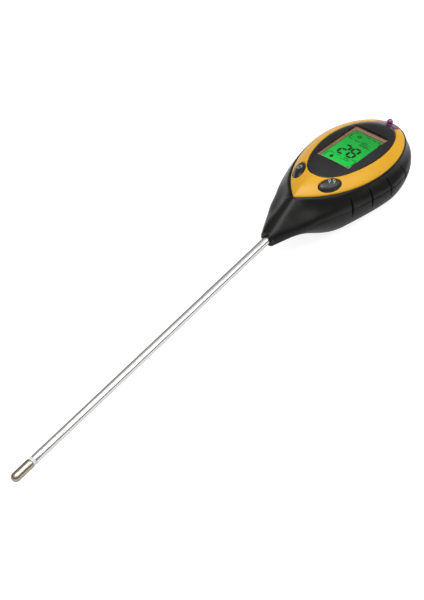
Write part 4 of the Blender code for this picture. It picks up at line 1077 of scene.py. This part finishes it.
def make_keys(finish):
    turn, centre = make_key("on_key_cap", "on_key", -1, finish)
    lift = (-0.3 * MM, 0.9 * MM)
    ring = arc(1.25 * MM, -245, 65, centre=lift)
    bar = segment((lift[0], lift[1] + 0.35 * MM), (lift[0], lift[1] + 1.75 * MM), 5)
    quads = stroke(ring, 0.19 * MM) + stroke(bar, 0.19 * MM)
    key_print("on_key_mark", "on_key", quads, turn, centre, finish)
    turn, centre = make_key("mode_key_cap", "mode_key", 1, finish)
    quads = []
    for shift, radius in (((-1.1 * MM, 1.0 * MM), 0.62 * MM), ((0.7 * MM, 3.0 * MM), 0.62 * MM)):
        quads += stroke(arc(radius, 0, 342, centre=shift), 0.14 * MM, True)
        tail = segment((shift[0] + 0.5 * MM, shift[1] - 0.7 * MM),
                       (shift[0] + 1.0 * MM, shift[1] - 1.35 * MM), 4)
        quads += stroke(tail, 0.14 * MM)
    key_print("mode_key_mark", "mode_key", quads, turn, centre, finish)


# ---------------------------------------------------------------- display

SEGMENTS = {"2": "abged", "8": "abcdefg"}
# Frames and dashes, in shares of the display's width and height
DISPLAY_LINES = (
    ((0.03, 0.05), (0.03, 0.19), (0.06, 0.225), (0.2, 0.225)), ((0.3, 0.225), (0.43, 0.225)),
    ((0.56, 0.225), (0.7, 0.225)), ((0.78, 0.255), (0.92, 0.255), (0.965, 0.22), (0.965, 0.1)),
    ((0.03, 0.90), (0.03, 0.80), (0.07, 0.765), (0.16, 0.765)), ((0.27, 0.765), (0.44, 0.765)),
    ((0.03, 0.93), (0.06, 0.975), (0.14, 0.975)), ((0.44, 0.975), (0.58, 0.975)),
    ((0.66, 0.975), (0.76, 0.975)), ((0.84, 0.975), (0.93, 0.975), (0.965, 0.94), (0.965, 0.86)),
    ((0.88, 0.045), (0.965, 0.045)),
)
BAR_STEP = 0.045


def digit(character, left, bottom, width, height, half):
    """Seven-segment strokes, each a long hexagon, of one digit."""
    middle, gap = bottom + height / 2, half * 0.3
    right, top = left + width, bottom + height
    ends = {"a": ((left, top), (right, top)), "b": ((right, top), (right, middle)),
            "c": ((right, middle), (right, bottom)), "d": ((left, bottom), (right, bottom)),
            "e": ((left, middle), (left, bottom)), "f": ((left, top), (left, middle)),
            "g": ((left, middle), (right, middle))}
    shapes = []
    for name in SEGMENTS[character]:
        start, end = Vector(ends[name][0]), Vector(ends[name][1])
        along = (end - start).normalized()
        across = Vector((-along.y, along.x)) * half
        start, end = start + along * gap, end - along * gap
        near, far = start + along * half, end - along * half
        shapes.append([start, near + across, far + across, end, far - across, near - across])
    return shapes


def display_point(u, v):
    return (blend(-ACTIVE[0] / 2, ACTIVE[0] / 2, u),
            WINDOW_SHIFT + blend(-ACTIVE[1] / 2, ACTIVE[1] / 2, v))


def display_art():
    """Dark marks of the display: two digits, a sun, a drop, frames and level bars."""
    width, height = ACTIVE
    shapes = []
    for character, u in (("2", 0.21), ("8", 0.525)):
        left, bottom = display_point(u, 0.285)
        shapes += digit(character, left, bottom, 0.215 * width, 0.285 * height, 0.8 * MM)
    thin, hair = 0.24 * MM, 0.2 * MM
    for line in DISPLAY_LINES:
        shapes += stroke([display_point(*point) for point in line], thin)
    sun = display_point(0.27, 0.9)
    shapes += stroke(arc(0.85 * MM, 0, 342, 18, sun), thin, True)
    for i in range(8):
        ray = i * 45 * DEG
        shapes += stroke([(sun[0] + reach * cos(ray), sun[1] + reach * sin(ray))
                          for reach in (1.3 * MM, 1.8 * MM)], hair)
    drop = display_point(0.235, 0.115)
    outline = arc(1.15 * MM, -210, 30, 16, drop) + [(drop[0], drop[1] + 2.4 * MM)]
    shapes.append([Vector(point) for point in outline])
    for row, end in enumerate((0.70, 0.80, 0.90)):
        v = 0.80 - 0.052 * row
        for i in range(int((end - 0.50) / BAR_STEP)):
            u = 0.50 + BAR_STEP * i
            shapes += stroke([display_point(u, v), display_point(u + 0.028, v)], 0.55 * MM)
    for i in range(6):
        u = 0.50 + 0.048 * i
        shapes += stroke([display_point(u, 0.16), display_point(u, 0.175 + 0.006 * i)], hair)
    return shapes


def make_display(finish):
    art = raised(display_art(), lambda x, y: LCD_TOP + 0.01 * MM, 0.04 * MM)
    made = finished("display_marks", art, finish["segment"], FACE, FACE_TURN)
    on_body(made)


# ---------------------------------------------------------------- probe

def make_probe(finish):
    start, end = TUBE_BOX[0].y - NECK.y, TUBE_BOX[1].y - NECK.y
    radius, bevel, steps = TUBE_RADIUS, TUBE_BEVEL, 60
    profile = [(TUBE_BORE, start), (radius - bevel, start), (radius - 0.25 * bevel, start + bevel / 3),
               (radius, start + bevel)]
    profile += [(radius, blend(start + bevel, end - bevel, i / steps)) for i in range(1, steps)]
    profile += [(radius, end - bevel), (radius - bevel, end), (TUBE_BORE, end)]
    tube = finished("probe_tube_drawn", turned(profile, 72), finish["steel"])
    on_body(tube, stands_for=("probe_tube",))

    low = TIP_BOX[1].y - NECK.y + RING_CLEARANCE
    high = start - RING_CLEARANCE
    start, end = RING_BOX[0].y - NECK.y, RING_BOX[1].y - NECK.y
    narrow, wide = radius - RING_EDGE, radius + RING_PROUD
    profile = [(RING_BORE, start), (SPIGOT_RADIUS, start), (SPIGOT_RADIUS, low), (narrow, low),
               (wide, low + RING_EDGE), (wide, high - RING_EDGE), (narrow, high),
               (SPIGOT_RADIUS, high), (SPIGOT_RADIUS, end), (RING_BORE, end)]
    ring = finished("probe_insulator_ring", turned(profile), finish["white"])
    on_body(ring, stands_for=("probe_insulator",))

    nose, back = TIP_BOX[0].y - NECK.y, TIP_BOX[1].y - NECK.y
    radius = (TIP_BOX[1].x - TIP_BOX[0].x) / 2
    profile = [(0, nose)]
    profile += [(radius * sin(a * DEG), nose + radius * (1 - cos(a * DEG)))
                for a in range(6, 91, 6)]
    profile += [(radius, blend(nose + radius, back - 0.5 * MM, i / 12)) for i in range(1, 13)]
    profile += [(radius - 0.06 * MM, back - 0.2 * MM), (radius - 0.22 * MM, back - 0.04 * MM),
                (radius - 0.4 * MM, back), (TUBE_BORE, back), (TUBE_BORE, nose + TIP_WALL_START),
                (0, nose + TIP_CONE_START)]
    tip = finished("probe_tip_nose", turned(profile), finish["nickel"])
    on_body(tip, stands_for=("probe_tip",))


def make_cover(finish):
    """The battery cover: rounded corners, a softened edge, a thumb recess and grip ribs."""
    low, high = COVER_BOX
    wide, long = high.x - low.x, high.y - low.y
    centre = Vector(((low.x + high.x) / 2, (low.y + high.y) / 2, 0))
    rings = []
    for shrink, z in COVER_EDGE:
        sides = (wide - 2 * shrink * MM, long - 2 * shrink * MM)
        rings.append([(x, y, z * MM) for x, y in rectangle(sides, 0, COVER_CORNER)])
    cover = finished("battery_cover_moulding", loft(rings), finish["rear"], centre)
    scoop = bmesh.new()
    bmesh.ops.create_uvsphere(scoop, u_segments=48, v_segments=32, radius=SCOOP_RADIUS)
    boolean(cover, scoop, location=centre + Vector((0, SCOOP_RADIUS - long / 2,
                                                    SCOOP_DEPTH - SCOOP_RADIUS)))
    for i in range(RIB_COUNT):
        y = RIB_START - long / 2 + i * RIB_STEP
        boolean(cover, block((-RIB_HALF[0], y - RIB_HALF[1], -1 * MM),
                             (RIB_HALF[0], y + RIB_HALF[1], RIB_DEPTH)), location=centre)
    on_body(cover, "battery_cover", stands_for=("battery_cover",))


# ---------------------------------------------------------------- carried CAD nodes

CARRIED = {
    "photodiode": "lens", "window_pane": "clear", "lcd_frame": "bronze", "lcd_glass": "display",
    "backlight": "milky", "contact_strip": "rubber", "main_board": "board",
    "controller_chip": "chip", "on_switch": "screw", "on_switch_plunger": "white",
    "mode_switch": "screw", "mode_switch_plunger": "white", "battery": "battery",
    "battery_snap": "chip", "red_lead": "red", "black_lead": "chip", "sensor_lead": "white",
    "thermistor": "chip", "probe_bush": "nickel", "probe_nut": "nickel",
    "thermistor_lead": "white", "tube_lead": "red",
}


def dress_cad_nodes(finish):
    for node, key in CARRIED.items():
        repaint(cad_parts[node], finish[key])
    for name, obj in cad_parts.items():
        if "_screw_" in name:
            repaint(obj, finish["screw"])


def repaint(obj, finish):
    for slot in obj.material_slots:
        slot.material = finish


# ---------------------------------------------------------------- studio

def make_studio():
    """A pale floor that glows enough to stay white under soft lights of low power. It lies
    a little under the meter, so that it never shows through the flat rear face."""
    floor = bmesh.new()
    bmesh.ops.create_grid(floor, x_segments=1, y_segments=1, size=6)
    pale, shader, tree = shader_nodes("studio_floor", (0.30, 0.30, 0.30), 0.6,
                                      Emission_Color=(1, 1, 1, 1), Emission_Strength=0.86)
    fill(tree, shader, Roughness=spread(tree, noise(tree, coordinates(tree), 0.004, 2), 0.55, 0.65))
    finished("studio_floor", floor, pale, (0, 0, -0.2 * MM))
    bpy.context.scene.world = studio_world()
    focus = NECK + Vector((0, 0.02, 0))
    area_light("camera_side_light", focus + Vector((0.15, -0.55, 1.15)), focus, 0.9, 3)
    area_light("top_light", focus + Vector((0.16, 0.03, 1.2)), focus, 0.6, 11)
    area_light("far_right_light", focus + Vector((0.62, 0.42, 0.85)), focus, 0.6, 4)


def studio_world():
    """White overhead, falling to grey at the horizon."""
    world = bpy.data.worlds.new("studio")
    world.use_nodes = True
    tree = world.node_tree
    split = add(tree, "SeparateXYZ", Vector=add(tree, "TexCoord").outputs["Generated"])
    sky = ramp(tree, split.outputs["Z"], ((0.0, 0.45), (0.12, 0.22), (0.35, 0.26), (0.75, 1.0)))
    fill(tree, tree.nodes["Background"], Color=sky, Strength=0.9)
    return world


def area_light(name, location, target, size, power):
    lamp = bpy.data.lights.new(name, "AREA")
    lamp.shape = "SQUARE"
    lamp.size = size
    lamp.energy = power
    obj = bpy.data.objects.new(name, lamp)
    obj.location = location
    obj.rotation_euler = (target - location).to_track_quat("-Z", "Y").to_euler()
    bpy.context.collection.objects.link(obj)


def make_camera():
    data = bpy.data.cameras.new("camera")
    data.lens = CAMERA_LENS
    data.sensor_width = 36
    data.clip_start = 0.01
    data.clip_end = 20
    obj = bpy.data.objects.new("camera", data)
    turn = Matrix.Rotation(CAMERA_AZIMUTH, 4, "Z")
    turn = turn @ Matrix.Rotation(pi / 2 - CAMERA_ELEVATION, 4, "X")
    turn = turn @ Matrix.Rotation(-CAMERA_ROLL, 4, "Z")
    obj.matrix_world = Matrix.Translation(NECK + CAMERA_OFFSET) @ turn
    bpy.context.collection.objects.link(obj)
    bpy.context.scene.camera = obj
    bpy.context.scene.view_settings.view_transform = "Standard"


def main():
    make_camera()
    finish = make_materials()
    dress_cad_nodes(finish)
    make_front_shell(finish)
    make_rear_shell(finish)
    make_face_plate(finish)
    make_sensor(finish)
    make_bezel(finish)
    make_keys(finish)
    make_display(finish)
    make_probe(finish)
    make_cover(finish)
    make_studio()


main()
